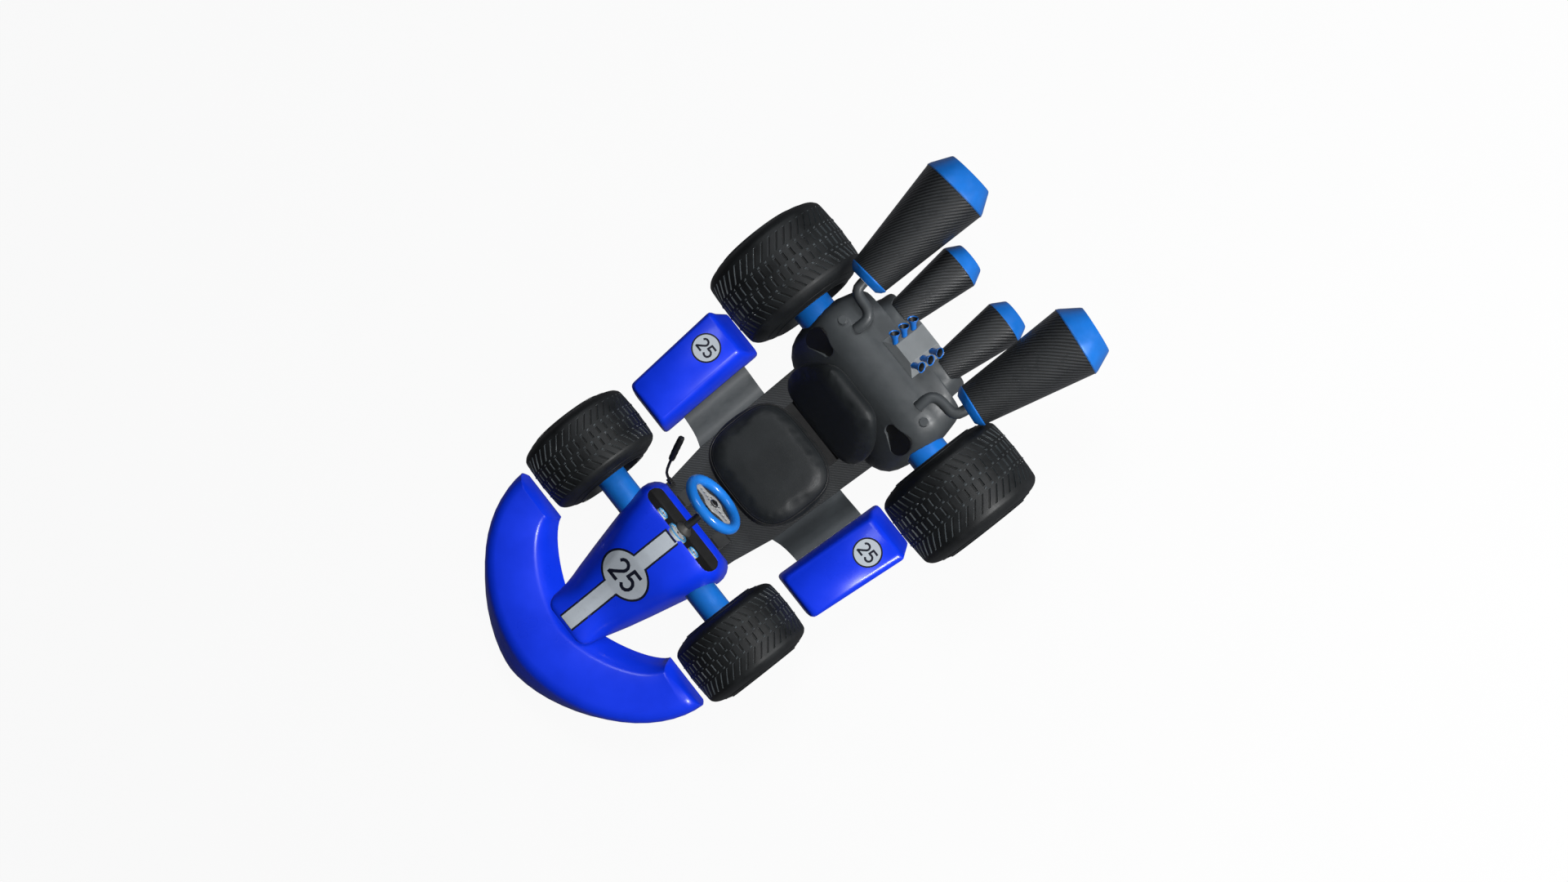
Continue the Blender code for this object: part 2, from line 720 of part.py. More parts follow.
def rim_profile(section, wall, hub, bore, reach):
    """A dished wheel with a closed hub, inside a tyre; positive is outboard."""
    seat, bead = section[0]
    edge = seat + 0.006
    outer = bead - GAP
    return [
        (reach, 0), (reach, bore), (-0.006, bore), (-0.006, hub),
        (0.012, hub + 0.004), (0.004, outer - wall - 0.003), (-edge, outer - wall),
        (-edge, outer), (edge, outer), (edge, outer - wall),
        (0.020, outer - wall - 0.003), (0.034, hub + 0.004),
        (reach + 0.006, hub), (reach + 0.012, hub * 0.70), (reach + 0.012, 0),
    ]


FRONT_RIM = rim_profile(FRONT_SECTION, wall=0.0055, hub=0.0300, bore=STUB_R + RUN, reach=0.066)
REAR_RIM = rim_profile(REAR_SECTION, wall=0.0060, hub=0.0360, bore=AXLE_R + GAP, reach=0.062)


def make_wheels(sign):
    for end, centre, section, rim in (
        ("f", (FRONT_WHEEL_X, FRONT_Y, FRONT_TYRE_R), FRONT_SECTION, FRONT_RIM),
        ("r", (REAR_WHEEL_X, REAR_Y, REAR_TYRE_R), REAR_SECTION, REAR_RIM),
    ):
        place = end + side_of(sign)
        centre = across(centre, sign)
        axis = (sign, 0, 0)
        tyre = turned(tyre_profile(section), centre, axis, 28)
        finish(tyre, f"tyre_{place}", RUBBER, centre, sharp=60)
        finish(turned(rim, centre, axis, 28), f"rim_{place}", RIM, centre, sharp=40)


# ----------------------------------------------------------------- rear axle
# distance outboard from the middle of the kart, radius
REAR_TUBE_PROFILE = (
    (0.4200, AXLE_R + 0.002), (0.4200, REAR_TUBE_R - 0.022), (0.4320, REAR_TUBE_R - 0.018),
    (0.4320, REAR_TUBE_R - 0.006), (0.4260, REAR_TUBE_R), (REAR_TUBE_ROOM_X + GAP, REAR_TUBE_R),
    (REAR_TUBE_ROOM_X + GAP, AXLE_R + 0.002),
)


def make_rear_axle():
    reach = X_AXIS * (REAR_WHEEL_X + 0.060)
    axle = rod(REAR_CENTRE - reach, REAR_CENTRE + reach, AXLE_R, 20)
    finish(axle, "rear_axle", STEEL, REAR_CENTRE)
    for sign in SIDES:
        tube = turned(REAR_TUBE_PROFILE, REAR_CENTRE, (sign, 0, 0), 28)
        finish(tube, f"rear_tube_{side_of(sign)}", ACCENT, REAR_CENTRE, sharp=30)


# ---------------------------------------------------------------------- seat
SEAT_HALF_X, SEAT_HALF_Y, SEAT_CY = 0.2430, 0.2080, 0.0050
# z, share of the full outline
CUSHION_LEVELS = (
    (0.0995, 0.80), (0.1080, 0.92), (0.1280, 0.985), (0.1600, 1.0), (0.1950, 0.995),
    (0.2220, 0.955), (0.2400, 0.860), (0.2490, 0.700), (0.2530, 0.420),
)
BACK_FOOT = Vector((0, 0.2560, 0.2180))
BACK_HEAD = Vector((0, 0.4330, 0.5020))
BACK_LEAN = (BACK_HEAD - BACK_FOOT).normalized()
BACK_AWAY = Vector((0, BACK_LEAN.z, -BACK_LEAN.y))  # out of the back, rearward
# share of the way up, half width, half thickness
BACK_ROWS = (
    (-0.030, 0.140, 0.014), (0.0, 0.185, 0.034), (0.06, 0.214, 0.0455),
    (0.16, 0.2330, 0.0495), (0.32, 0.2410, 0.0500), (0.50, 0.2350, 0.0500),
    (0.66, 0.2150, 0.0500), (0.80, 0.1880, 0.0500), (0.90, 0.1640, 0.0480),
    (0.97, 0.1400, 0.0400), (1.01, 0.1100, 0.0240), (1.025, 0.0700, 0.0100),
)
BACK_HALF_THICK = 0.0500


def make_seat_cushion():
    steps, exponent = 28, 3.2
    rings = []
    for z, size in CUSHION_LEVELS:
        ring = []
        for k in range(steps):
            turn = math.tau * (k + 0.5) / steps
            ring.append((
                SEAT_HALF_X * size * power(math.cos(turn), 2 / exponent),
                SEAT_CY + SEAT_HALF_Y * size * power(math.sin(turn), 2 / exponent),
                z,
            ))
        rings.append(ring)
    finish(loft(rings), "seat_cushion", VINYL, sharp=80)


def make_seat_back():
    steps, squareness = 24, 0.72
    rings = []
    for share, half, thick in BACK_ROWS:
        centre = BACK_FOOT + (BACK_HEAD - BACK_FOOT) * share
        ring = []
        for k in range(steps):
            turn = math.tau * k / steps
            ring.append(
                centre
                + X_AXIS * (half * power(math.cos(turn), squareness))
                + BACK_AWAY * (thick * power(math.sin(turn), squareness))
            )
        rings.append(ring)
    finish(loft(rings), "seat_back", VINYL, sharp=80)


def make_seat_pan():
    """The pan under the cushion runs up behind the back and carries it."""
    heel = BACK_FOOT + BACK_AWAY * (BACK_HALF_THICK + GAP)
    thick = BACK_AWAY * 0.009
    low, high = BACK_LEAN * 0.020, BACK_LEAN * 0.200
    outline = [
        (-0.150, ON_FLOOR), (0.222, ON_FLOOR), (0.262, 0.0700),
        tuple((heel + low + thick).yz), tuple((heel + high + thick).yz),
        tuple((heel + high).yz), tuple((heel + low).yz),
        (0.240, 0.0990), (-0.150, 0.0990), (-0.162, 0.0850), (-0.162, 0.0600),
    ]
    finish(extruded_x(outline, 0.150), "seat_pan", BLACK)


# -------------------------------------------------------------------- engine
# y, half width, top
ENGINE_ROWS = (
    (0.330, 0.240, 0.172), (0.337, 0.266, 0.198), (0.352, 0.296, 0.228),
    (0.376, 0.322, 0.270), (0.408, 0.338, 0.318), (0.448, 0.348, 0.372),
    (0.485, 0.352, 0.410), (0.515, 0.353, 0.430), (0.550, 0.353, 0.438),
    (0.600, 0.353, 0.438), (0.630, 0.350, 0.429), (0.650, 0.345, 0.420),
    (0.670, 0.340, 0.420), (0.692, 0.334, 0.420), (0.712, 0.326, 0.420),
    (0.726, 0.316, 0.420), (0.7350, 0.302, 0.420), (0.7375, 0.250, 0.420),
    (0.770, 0.241, 0.420), (0.794, 0.240, 0.411), (0.811, 0.238, 0.388),
    (0.822, 0.233, 0.340),
)
# a point on the sloping front deck where the intakes sit, and its rise over run
INTAKE_Y, INTAKE_LEVEL, INTAKE_SLOPE = 0.4480, 0.3690, 1.17
# the two round ends of an intake: centre, radius, start and stop in degrees
INTAKE_ENDS = (
    (Vector((0.272, 0.447)), 0.040, -100, 100),
    (Vector((0.198, 0.458)), 0.020, 80, 280),
)
PIPE_R = 0.0225

# the small inner cone of each side
SMALL_BASE = Vector((0.1385, 0.776, 0.362))
SMALL_END = Vector((0.1435, 1.080, 0.366))
SMALL_R0, SMALL_R1, SMALL_RIM = 0.0620, 0.0960, 0.0660
SMALL_LENGTH = (SMALL_END - SMALL_BASE).length
SMALL_GROWTH = (SMALL_R1 - SMALL_R0) / SMALL_LENGTH  # radius gained per length

# the ridge on the rear deck: y, share of the rise
COVER_ROWS = ((0.6510, 0.0), (0.6800, 1.0), (0.7800, 1.0), (0.8160, 0.9))
COVER_HALF, COVER_LOW, COVER_EDGE = 0.094, 0.4212, 0.004

TRUMPETS = range(3)
TRUMPET_START = Vector((0.0615, 0.6880, 0.4500))
TRUMPET_PITCH = 0.0460
TRUMPET_AXIS = (0.66, 0.39, 0.64)
# distance along the axis, radius
TRUMPET_PROFILE = (
    (0.004, 0), (0.004, 0.0105), (0.020, 0.0110), (0.0375, 0.0200),
    (0.036, 0.0220), (0.016, 0.0132), (-0.011, 0.0125), (-0.011, 0),
)


def engine_ring(row):
    steps, exponent = 24, 4.2
    y, half, top = row
    tall = (top - ON_FLOOR) * 0.5
    middle = ON_FLOOR + tall
    ring = []
    for k in range(steps):
        turn = math.tau * (k + 0.5) / steps
        x = half * power(math.cos(turn), 2 / exponent)
        ring.append((x, y, middle + tall * power(math.sin(turn), 2 / exponent)))
    return ring


def pipe_path(sign, early=0.0):
    """From the engine's top round to the large exhaust; `early` lengthens the start."""
    points = (
        (0.197, 0.596 - early, 0.4310), (0.195, 0.630, 0.4430),
        (0.201, 0.660, 0.4480), (0.226, 0.679, 0.4490),
        (0.262, 0.684, 0.4490), (0.296, 0.688, 0.4500),
        (0.317, 0.706, 0.4520), (0.3245, 0.748, 0.4540),
    )
    return smooth_path([across(point, sign) for point in points], 2)


def intake_outline(sign, grow):
    """Seen from above: broad outboard end, narrow inboard end."""
    outline = []
    for centre, radius, start, stop in INTAKE_ENDS:
        for k in range(9):
            turn = math.radians(start + (stop - start) * k / 8)
            x = centre.x + (radius + grow) * math.cos(turn)
            outline.append((x * sign, centre.y + (radius + grow) * math.sin(turn)))
    return outline


def intake_solid(sign, grow, low, high):
    """The outline laid on the sloping deck, between two heights square to it."""
    normal = Vector((0, -INTAKE_SLOPE, 1)).normalized()
    return loft([
        [
            Vector((x, y, INTAKE_LEVEL + (y - INTAKE_Y) * INTAKE_SLOPE)) + normal * height
            for x, y in intake_outline(sign, grow)
        ]
        for height in (low, high)
    ])


def small_cone_room(sign, behind, start_radius, clearance):
    """Room for a small cone, from `behind` its base to 0.15 beyond it."""
    ahead = 0.15
    base = across(SMALL_BASE, sign)
    axis = across(SMALL_END - SMALL_BASE, sign).normalized()
    end_radius = SMALL_R0 + clearance + SMALL_GROWTH * ahead
    return rod(base - axis * behind, base + axis * ahead, start_radius, 28, end_radius)


def make_engine():
    block_skin = loft([engine_ring(row) for row in ENGINE_ROWS])
    engine = finish(block_skin, "engine_block", ENGINE, sharp=60, split=True)
    reach = X_AXIS * 0.4
    bore = rod(REAR_CENTRE - reach, REAR_CENTRE + reach, AXLE_R + 0.002, 20)
    cut(engine, bore, "cutter_axle_bore")
    for sign in SIDES:
        side = side_of(sign)
        tube_room = rod(
            REAR_CENTRE + X_AXIS * (REAR_TUBE_ROOM_X * sign),
            REAR_CENTRE + X_AXIS * (0.450 * sign),
            REAR_TUBE_R + GAP, 28,
        )
        cut(engine, tube_room, f"cutter_tube_{side}")
        pocket = intake_solid(sign, 0.0, -0.0220, 0.0600)
        cut(engine, pocket, f"cutter_intake_{side}", split=True)
        cone_room = small_cone_room(sign, GAP, SMALL_R0 + GAP, GAP)
        cut(engine, cone_room, f"cutter_small_{side}")
        pipe_room = swept(pipe_path(sign, 0.001), PIPE_R + GAP, 12)
        cut(engine, pipe_room, f"cutter_pipe_{side}", split=True)
        foot = Vector((0.2585 * sign, 0.5790, 0.400))
        boss = rod(foot, foot + Vector((0, 0, 0.0395)), 0.0185, 16)
        fuse(engine, boss, f"guide_boss_{side}")


def trumpet_place(sign, index):
    """Start point and axis of a trumpet; index 0 is the front one."""
    start = across(TRUMPET_START, sign) + Vector((0, TRUMPET_PITCH * index, 0))
    return start, across(TRUMPET_AXIS, sign).normalized()


def make_cover():
    """A ridged cover along the middle of the engine's rear deck."""
    half, low = COVER_HALF, COVER_LOW
    edge = low + COVER_EDGE
    rings = []
    for y, rise in COVER_ROWS:
        top = edge + 0.032 * rise
        half_top = half - 0.048 * rise
        rings.append([
            (-half, y, low), (half, y, low), (half, y, edge),
            (half_top, y, top), (-half_top, y, top), (-half, y, edge),
        ])
    cover = finish(loft(rings), "engine_cover", COVER, sharp=20)
    clearance, behind = 0.002, 0.01
    for sign in SIDES:
        side = side_of(sign)
        start_radius = SMALL_R0 + clearance - SMALL_GROWTH * behind
        cone_room = small_cone_room(sign, behind, start_radius, clearance)
        cut(cover, cone_room, f"cutter_cover_small_{side}")
        for index in TRUMPETS:
            start, axis = trumpet_place(sign, index)
            room = rod(start - axis * 0.0115, start + axis * 0.06, 0.0134 + GAP, 12)
            cut(cover, room, f"cutter_cover_trumpet_{side}{index}")


def make_trumpets(sign):
    for index in TRUMPETS:
        start, axis = trumpet_place(sign, index)
        trumpet = turned(TRUMPET_PROFILE, start, axis, 12)
        finish(trumpet, f"trumpet_{side_of(sign)}{index + 1}", ACCENT, sharp=50)


def make_intake(sign):
    insert = intake_solid(sign, -GAP, -0.0216, -0.0120)
    finish(insert, f"intake_{side_of(sign)}", BLACK, sharp=30)


# ------------------------------------------------------------------ exhausts
EXHAUST_BASE = Vector((0.328, 0.772, 0.458))
EXHAUST_END = Vector((0.381, 1.234, 0.522))
EXHAUST_R0, EXHAUST_R1, EXHAUST_RIM = 0.0885, 0.1470, 0.1000
EXHAUST_LENGTH = (EXHAUST_END - EXHAUST_BASE).length
RING_DEPTH = 0.0345

# profiles: distance along the axis from the cone's base, radius
RING_PROFILE = (
    (-GAP, 0), (-GAP, 0.0905), (-0.0060, 0.0905),
    (-0.0200, 0.0820), (-RING_DEPTH, 0.0640), (-RING_DEPTH, 0),
)
EXHAUST_CONE = (
    (0.030, 0), (0.030, EXHAUST_R0 - 0.002), (EXHAUST_LENGTH, EXHAUST_R1 - 0.005),
    (EXHAUST_LENGTH, EXHAUST_R1), (0, EXHAUST_R0), (0, 0),
)
SMALL_CONE = (
    (0.100, 0), (0.100, SMALL_R0 + 0.004), (SMALL_LENGTH, SMALL_R1 - 0.004),
    (SMALL_LENGTH, SMALL_R1), (0, SMALL_R0), (0, 0),
)
EXHAUST_TIP = (
    (EXHAUST_LENGTH + 0.088, EXHAUST_RIM - 0.0080),
    (EXHAUST_LENGTH + 0.090, EXHAUST_RIM - 0.0010),
    (EXHAUST_LENGTH + 0.084, EXHAUST_RIM + 0.0040),
    (EXHAUST_LENGTH + 0.012, EXHAUST_R1 - 0.0030),
    (EXHAUST_LENGTH + GAP, EXHAUST_R1 + 0.0010),
    (EXHAUST_LENGTH + GAP, EXHAUST_R1 - 0.012),
)
SMALL_TIP = (
    (SMALL_LENGTH + 0.060, SMALL_RIM - 0.0070),
    (SMALL_LENGTH + 0.061, SMALL_RIM - 0.0010),
    (SMALL_LENGTH + 0.056, SMALL_RIM + 0.0030),
    (SMALL_LENGTH + 0.010, SMALL_R1 - 0.0020),
    (SMALL_LENGTH + GAP, SMALL_R1 + 0.0008),
    (SMALL_LENGTH + GAP, SMALL_R1 - 0.010),
)


def make_exhausts(sign):
    side = side_of(sign)
    for kind, base, end, cone, tip, steps in (
        ("exhaust", EXHAUST_BASE, EXHAUST_END, EXHAUST_CONE, EXHAUST_TIP, 32),
        ("small", SMALL_BASE, SMALL_END, SMALL_CONE, SMALL_TIP, 28),
    ):
        base = across(base, sign)
        axis = (across(end, sign) - base).normalized()
        finish(turned(cone, base, axis, steps), f"{kind}_cone_{side}", CARBON, sharp=40)
        finish(turned(tip, base, axis, steps), f"{kind}_tip_{side}", ACCENT, sharp=30)


def make_exhaust_feed(sign):
    """The ring in front of the large cone, and the pipe that ends against it."""
    side = side_of(sign)
    base = across(EXHAUST_BASE, sign)
    axis = (across(EXHAUST_END, sign) - base).normalized()
    finish(turned(RING_PROFILE, base, axis, 28), f"exhaust_ring_{side}", ACCENT, sharp=25)
    pipe = finish(swept(pipe_path(sign), PIPE_R, 12), f"pipe_{side}", ENGINE, sharp=80)
    front = base - axis * (RING_DEPTH + GAP)
    cut(pipe, rod(front, front + axis * 0.06, 0.090, 12), f"cutter_pipe_end_{side}")


# ------------------------------------------------------------------ controls
GEAR_PIVOT = Vector((-0.197, -0.350, 0.140))
GEAR_PIN_R = 0.0040
GEAR_PATH = (
    GEAR_PIVOT, (-0.1972, -0.3500, 0.1580), (-0.2080, -0.3480, 0.1740),
    (-0.2300, -0.3400, 0.2040), (-0.2460, -0.3130, 0.2500), (-0.2580, -0.2820, 0.2950),
)
# point, radius
GRIP_ROWS = (
    ((-0.2549, -0.2900, 0.2834), 0.0095),
    ((-0.2560, -0.2872, 0.2874), 0.0122),
    ((-0.2700, -0.2513, 0.3387), 0.0132),
    ((-0.2850, -0.2130, 0.3790), 0.0125),
    ((-0.2868, -0.2090, 0.3832), 0.0085),
)

PEDAL_RISE = math.radians(28)
PEDAL_LENGTH = 0.165
PEDAL_CORNER = 0.014
PEDAL_FACES = (-0.0015, 0.0065)  # under and upper side, from the pivot's plane


def make_gear_bracket():
    pivot = GEAR_PIVOT
    body = block(
        (pivot.x - 0.0165, pivot.y - 0.011, ON_FLOOR),
        (pivot.x + 0.0165, pivot.y + 0.011, pivot.z + 0.008),
        bevel=0.002,
    )
    bracket = finish(body, "gear_bracket", DARK_METAL)
    slot = block(pivot - Vector((0.0090, 0.02, 0.020)), pivot + Vector((0.0090, 0.02, 0.03)))
    cut(bracket, slot, "cutter_gear_slot")
    bore = rod(pivot - X_AXIS * 0.03, pivot + X_AXIS * 0.03, GEAR_PIN_R + RUN / 2, 12)
    cut(bracket, bore, "cutter_gear_bore")


def make_gear_lever():
    pin = turned(stepped_pin(0.0155, GEAR_PIN_R, 0.0082, 0.0100), GEAR_PIVOT, X_AXIS, 14)
    lever = finish(pin, "gear_lever", DARK_METAL, GEAR_PIVOT)
    fuse(lever, swept(smooth_path(GEAR_PATH, 2), 0.0060, 8), "guide_gear_rod")
    points, radii = zip(*GRIP_ROWS)
    fuse(lever, swept(points, radii, 10), "guide_gear_grip")


def make_pedal(sign, name):
    """A plate rising forward from its pivot pin, with two round corners."""
    middle = (PEDAL_X0 + PEDAL_X1) / 2
    half = (PEDAL_X1 - PEDAL_X0) / 2
    pivot = Vector((middle * sign, PEDAL_PIVOT_Y, PEDAL_PIVOT_Z))
    pin = turned(stepped_pin(half + 0.0045, 0.0041, half, 0.0080), pivot, X_AXIS, 14)
    pedal = finish(pin, name, DARK_METAL, pivot)
    along = Vector((0, -math.cos(PEDAL_RISE), math.sin(PEDAL_RISE)))
    normal = Vector((0, math.sin(PEDAL_RISE), math.cos(PEDAL_RISE)))
    outline = []
    for corner_x, start in ((half - PEDAL_CORNER, 0), (-half + PEDAL_CORNER, 90)):
        for k in range(5):
            turn = math.radians(start + 90 * k / 4)
            outline.append((
                corner_x + PEDAL_CORNER * math.cos(turn),
                PEDAL_LENGTH - PEDAL_CORNER + PEDAL_CORNER * math.sin(turn),
            ))
    outline += [(-half, 0.0), (half, 0.0)]
    plate = loft([
        [pivot + X_AXIS * x + along * reach + normal * height for x, reach in outline]
        for height in PEDAL_FACES
    ])
    fuse(pedal, plate, f"guide_{name}")


# ------------------------------------------------------------------ assembly
make_floor()
make_bumper()
make_nose()
make_dash()
make_gauges()
make_steering_rim()
make_steering_spokes()
make_steering_column()
make_beam()
make_saddle()
make_rear_axle()
make_seat_cushion()
make_seat_back()
make_seat_pan()
make_engine()
make_cover()
for side_sign in SIDES:
    make_wing(side_sign)
    make_pod(side_sign)
    make_knuckle(side_sign)
    make_wheels(side_sign)
    make_trumpets(side_sign)
    make_intake(side_sign)
    make_exhaust_feed(side_sign)
    make_exhausts(side_sign)
make_gear_bracket()
make_gear_lever()
make_pedal(1, "brake_pedal")
make_pedal(-1, "throttle_pedal")

for member in bpy.data.objects:
    member.location.y -= FOOTPRINT_CENTRE_Y
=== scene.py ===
import json
import math
from functools import cached_property

import bmesh
import bpy
from mathutils import Matrix, Vector
from mathutils.bvhtree import BVHTree

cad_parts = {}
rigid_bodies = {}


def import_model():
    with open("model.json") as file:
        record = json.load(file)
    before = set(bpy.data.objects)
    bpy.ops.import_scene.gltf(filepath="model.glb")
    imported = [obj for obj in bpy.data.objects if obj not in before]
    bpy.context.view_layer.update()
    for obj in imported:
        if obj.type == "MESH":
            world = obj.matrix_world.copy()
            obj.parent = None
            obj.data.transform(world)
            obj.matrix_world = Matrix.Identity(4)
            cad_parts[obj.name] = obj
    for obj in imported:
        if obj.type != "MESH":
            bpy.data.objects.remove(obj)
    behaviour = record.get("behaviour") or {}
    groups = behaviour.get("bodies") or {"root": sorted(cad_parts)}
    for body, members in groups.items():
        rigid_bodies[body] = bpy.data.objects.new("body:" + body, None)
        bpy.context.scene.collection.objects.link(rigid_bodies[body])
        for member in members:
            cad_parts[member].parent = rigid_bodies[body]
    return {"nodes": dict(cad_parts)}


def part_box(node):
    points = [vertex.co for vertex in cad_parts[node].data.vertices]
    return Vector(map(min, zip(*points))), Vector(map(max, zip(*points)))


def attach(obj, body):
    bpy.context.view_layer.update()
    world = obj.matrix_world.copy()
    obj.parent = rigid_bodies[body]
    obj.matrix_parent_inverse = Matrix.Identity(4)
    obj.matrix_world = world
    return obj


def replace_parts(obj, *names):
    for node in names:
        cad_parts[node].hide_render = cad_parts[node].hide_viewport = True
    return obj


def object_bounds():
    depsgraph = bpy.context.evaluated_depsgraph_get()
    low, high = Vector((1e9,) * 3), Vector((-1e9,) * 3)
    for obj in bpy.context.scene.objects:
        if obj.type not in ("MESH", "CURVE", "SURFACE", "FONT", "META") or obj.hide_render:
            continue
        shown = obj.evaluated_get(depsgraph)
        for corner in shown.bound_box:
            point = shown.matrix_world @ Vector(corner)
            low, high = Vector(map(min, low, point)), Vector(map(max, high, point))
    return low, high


for leftover in list(bpy.data.objects):
    bpy.data.objects.remove(leftover, do_unlink=True)

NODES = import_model()["nodes"]
cad_low, cad_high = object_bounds()

RIM_Y = -0.273  # the steering wheel's middle in the kart's own dimensions
rim_low, rim_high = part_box("steering_rim")
SHIFT = (rim_low.y + rim_high.y) / 2 - RIM_Y  # from the kart's own Y to the frame's

SIDES = ((1, "l", "left"), (-1, "r", "right"))

# The middle lines of the carbon cones on the left side.
EXHAUST_BASE = Vector((0.328, 0.772, 0.458))
EXHAUST_END = Vector((0.381, 1.234, 0.522))
SMALL_BASE = Vector((0.1385, 0.776, 0.362))
SMALL_END = Vector((0.1435, 1.080, 0.366))


def spot(x, y, z):
    """A point in the frame from the kart's own dimensions."""
    return Vector((x, y + SHIFT, z))


def mirrored(point, sign):
    """A left-side point on the side given by the sign, in the frame."""
    return spot(point.x * sign, point.y, point.z)


# =================================================================== node trees
def scaled(colour, factor, lift=0.0):
    """The colour times a factor plus a lift, held at 1."""
    return tuple(min(1.0, channel * factor + lift) for channel in colour)


class Shader:
    """A small builder for the node tree of a material or the world."""

    def __init__(self, owner, output="ShaderNodeOutputMaterial"):
        self.owner = owner
        owner.use_nodes = True
        self.tree = owner.node_tree
        self.tree.nodes.clear()
        self.out = self.node(output)

    @cached_property
    def place(self):
        return self.node("ShaderNodeTexCoord").outputs["Object"]

    @cached_property
    def normal(self):
        return self.node("ShaderNodeNewGeometry").outputs["Normal"]

    def put(self, socket, value):
        if isinstance(value, bpy.types.NodeSocket):
            self.tree.links.new(value, socket)
        elif isinstance(value, (tuple, list, Vector)) and socket.type == "RGBA":
            socket.default_value = (*tuple(value)[:3], 1.0)
        else:
            socket.default_value = value

    def node(self, kind, inputs=None, **settings):
        made = self.tree.nodes.new(kind)
        for key, value in settings.items():
            setattr(made, key, value)
        for key, value in (inputs or {}).items():
            self.put(made.inputs[key], value)
        return made

    def finish(self, shader):
        """Links the last shader node to the output and hands back the material."""
        self.put(self.out.inputs["Surface"], shader.outputs[0])
        return self.owner

    def math(self, operation, *values, clamp=False):
        made = self.node("ShaderNodeMath", operation=operation, use_clamp=clamp)
        for socket, value in zip(made.inputs, values):
            self.put(socket, value)
        return made.outputs[0]

    def add(self, first, second, clamp=False):
        return self.math("ADD", first, second, clamp=clamp)

    def times(self, first, second, clamp=False):
        return self.math("MULTIPLY", first, second, clamp=clamp)

    def vector(self, operation, first, second=None, scale=None):
        made = self.node("ShaderNodeVectorMath", operation=operation)
        self.put(made.inputs[0], first)
        if second is not None:
            self.put(made.inputs[1], second)
        if scale is not None:
            self.put(made.inputs["Scale"], scale)
        return made.outputs["Value" if operation == "DOT_PRODUCT" else "Vector"]

    def stretched(self, *factors):
        """Object coordinates times a factor on each axis; a small factor draws out the texture."""
        return self.vector("MULTIPLY", self.place, factors)

    def split(self, vector):
        return self.node("ShaderNodeSeparateXYZ", {"Vector": vector}).outputs

    def join(self, x, y, z):
        return self.node("ShaderNodeCombineXYZ", {"X": x, "Y": y, "Z": z}).outputs[0]

    def mix(self, factor, first, second):
        inputs = {"Factor": factor, 6: first, 7: second}
        return self.node("ShaderNodeMix", inputs, data_type="RGBA").outputs[2]

    def blend(self, factor, first, second):
        inputs = {"Factor": factor, 2: first, 3: second}
        return self.node("ShaderNodeMix", inputs, data_type="FLOAT").outputs[0]

    def shades(self, factor, colour, low, high):
        """The colour, varied between two multiples of itself."""
        return self.mix(factor, scaled(colour, low), scaled(colour, high))

    def noise(self, scale, detail=3.0, rough=0.55, place=None, distortion=0.0):
        made = self.node("ShaderNodeTexNoise", {
            "Vector": place or self.place, "Scale": scale, "Detail": detail,
            "Roughness": rough, "Distortion": distortion})
        return made.outputs["Fac"]

    def voronoi(self, scale, feature="F1", place=None):
        inputs = {"Vector": place or self.place, "Scale": scale}
        return self.node("ShaderNodeTexVoronoi", inputs, feature=feature).outputs["Distance"]

    def ramp(self, value, span=(0.3, 0.7), to=(0.0, 1.0)):
        """Maps a span of values smoothly to another."""
        made = self.node("ShaderNodeMapRange", {
            "Value": value, "From Min": span[0], "From Max": span[1],
            "To Min": to[0], "To Max": to[1]}, interpolation_type="SMOOTHSTEP")
        return made.outputs[0]

    def bump(self, height, distance, strength, normal=None):
        inputs = {"Height": height, "Distance": distance, "Strength": strength}
        if normal is not None:
            inputs["Normal"] = normal
        return self.node("ShaderNodeBump", inputs).outputs[0]

    def rounded(self, radius):
        """The normal as if edges were rounded to this radius."""
        return self.node("ShaderNodeBevel", {"Radius": radius}, samples=4).outputs[0]

    def edge(self, rounded, amount=6.0):
        """1 on sharp edges, 0 on flat faces, from the rounded normal."""
        away = self.math("SUBTRACT", 1.0, self.vector("DOT_PRODUCT", rounded, self.normal))
        return self.times(away, amount, clamp=True)

    def calm(self, tone):
        """The tone, greyed where it only lights its neighbours."""
        rays = self.node("ShaderNodeLightPath").outputs
        glossy_share, grey_share = 0.6, 0.8
        bounced = self.math("MAXIMUM", rays["Is Diffuse Ray"],
                            self.times(rays["Is Glossy Ray"], glossy_share))
        return self.mix(self.times(bounced, grey_share), tone, (0.045, 0.047, 0.050))

    def principled(self, **inputs):
        """Ends the material; underscores in the argument names stand for spaces."""
        named = {key.replace("_", " "): value for key, value in inputs.items()}
        return self.finish(self.node("ShaderNodeBsdfPrincipled", named))


def new_look(name):
    return Shader(bpy.data.materials.new(name))


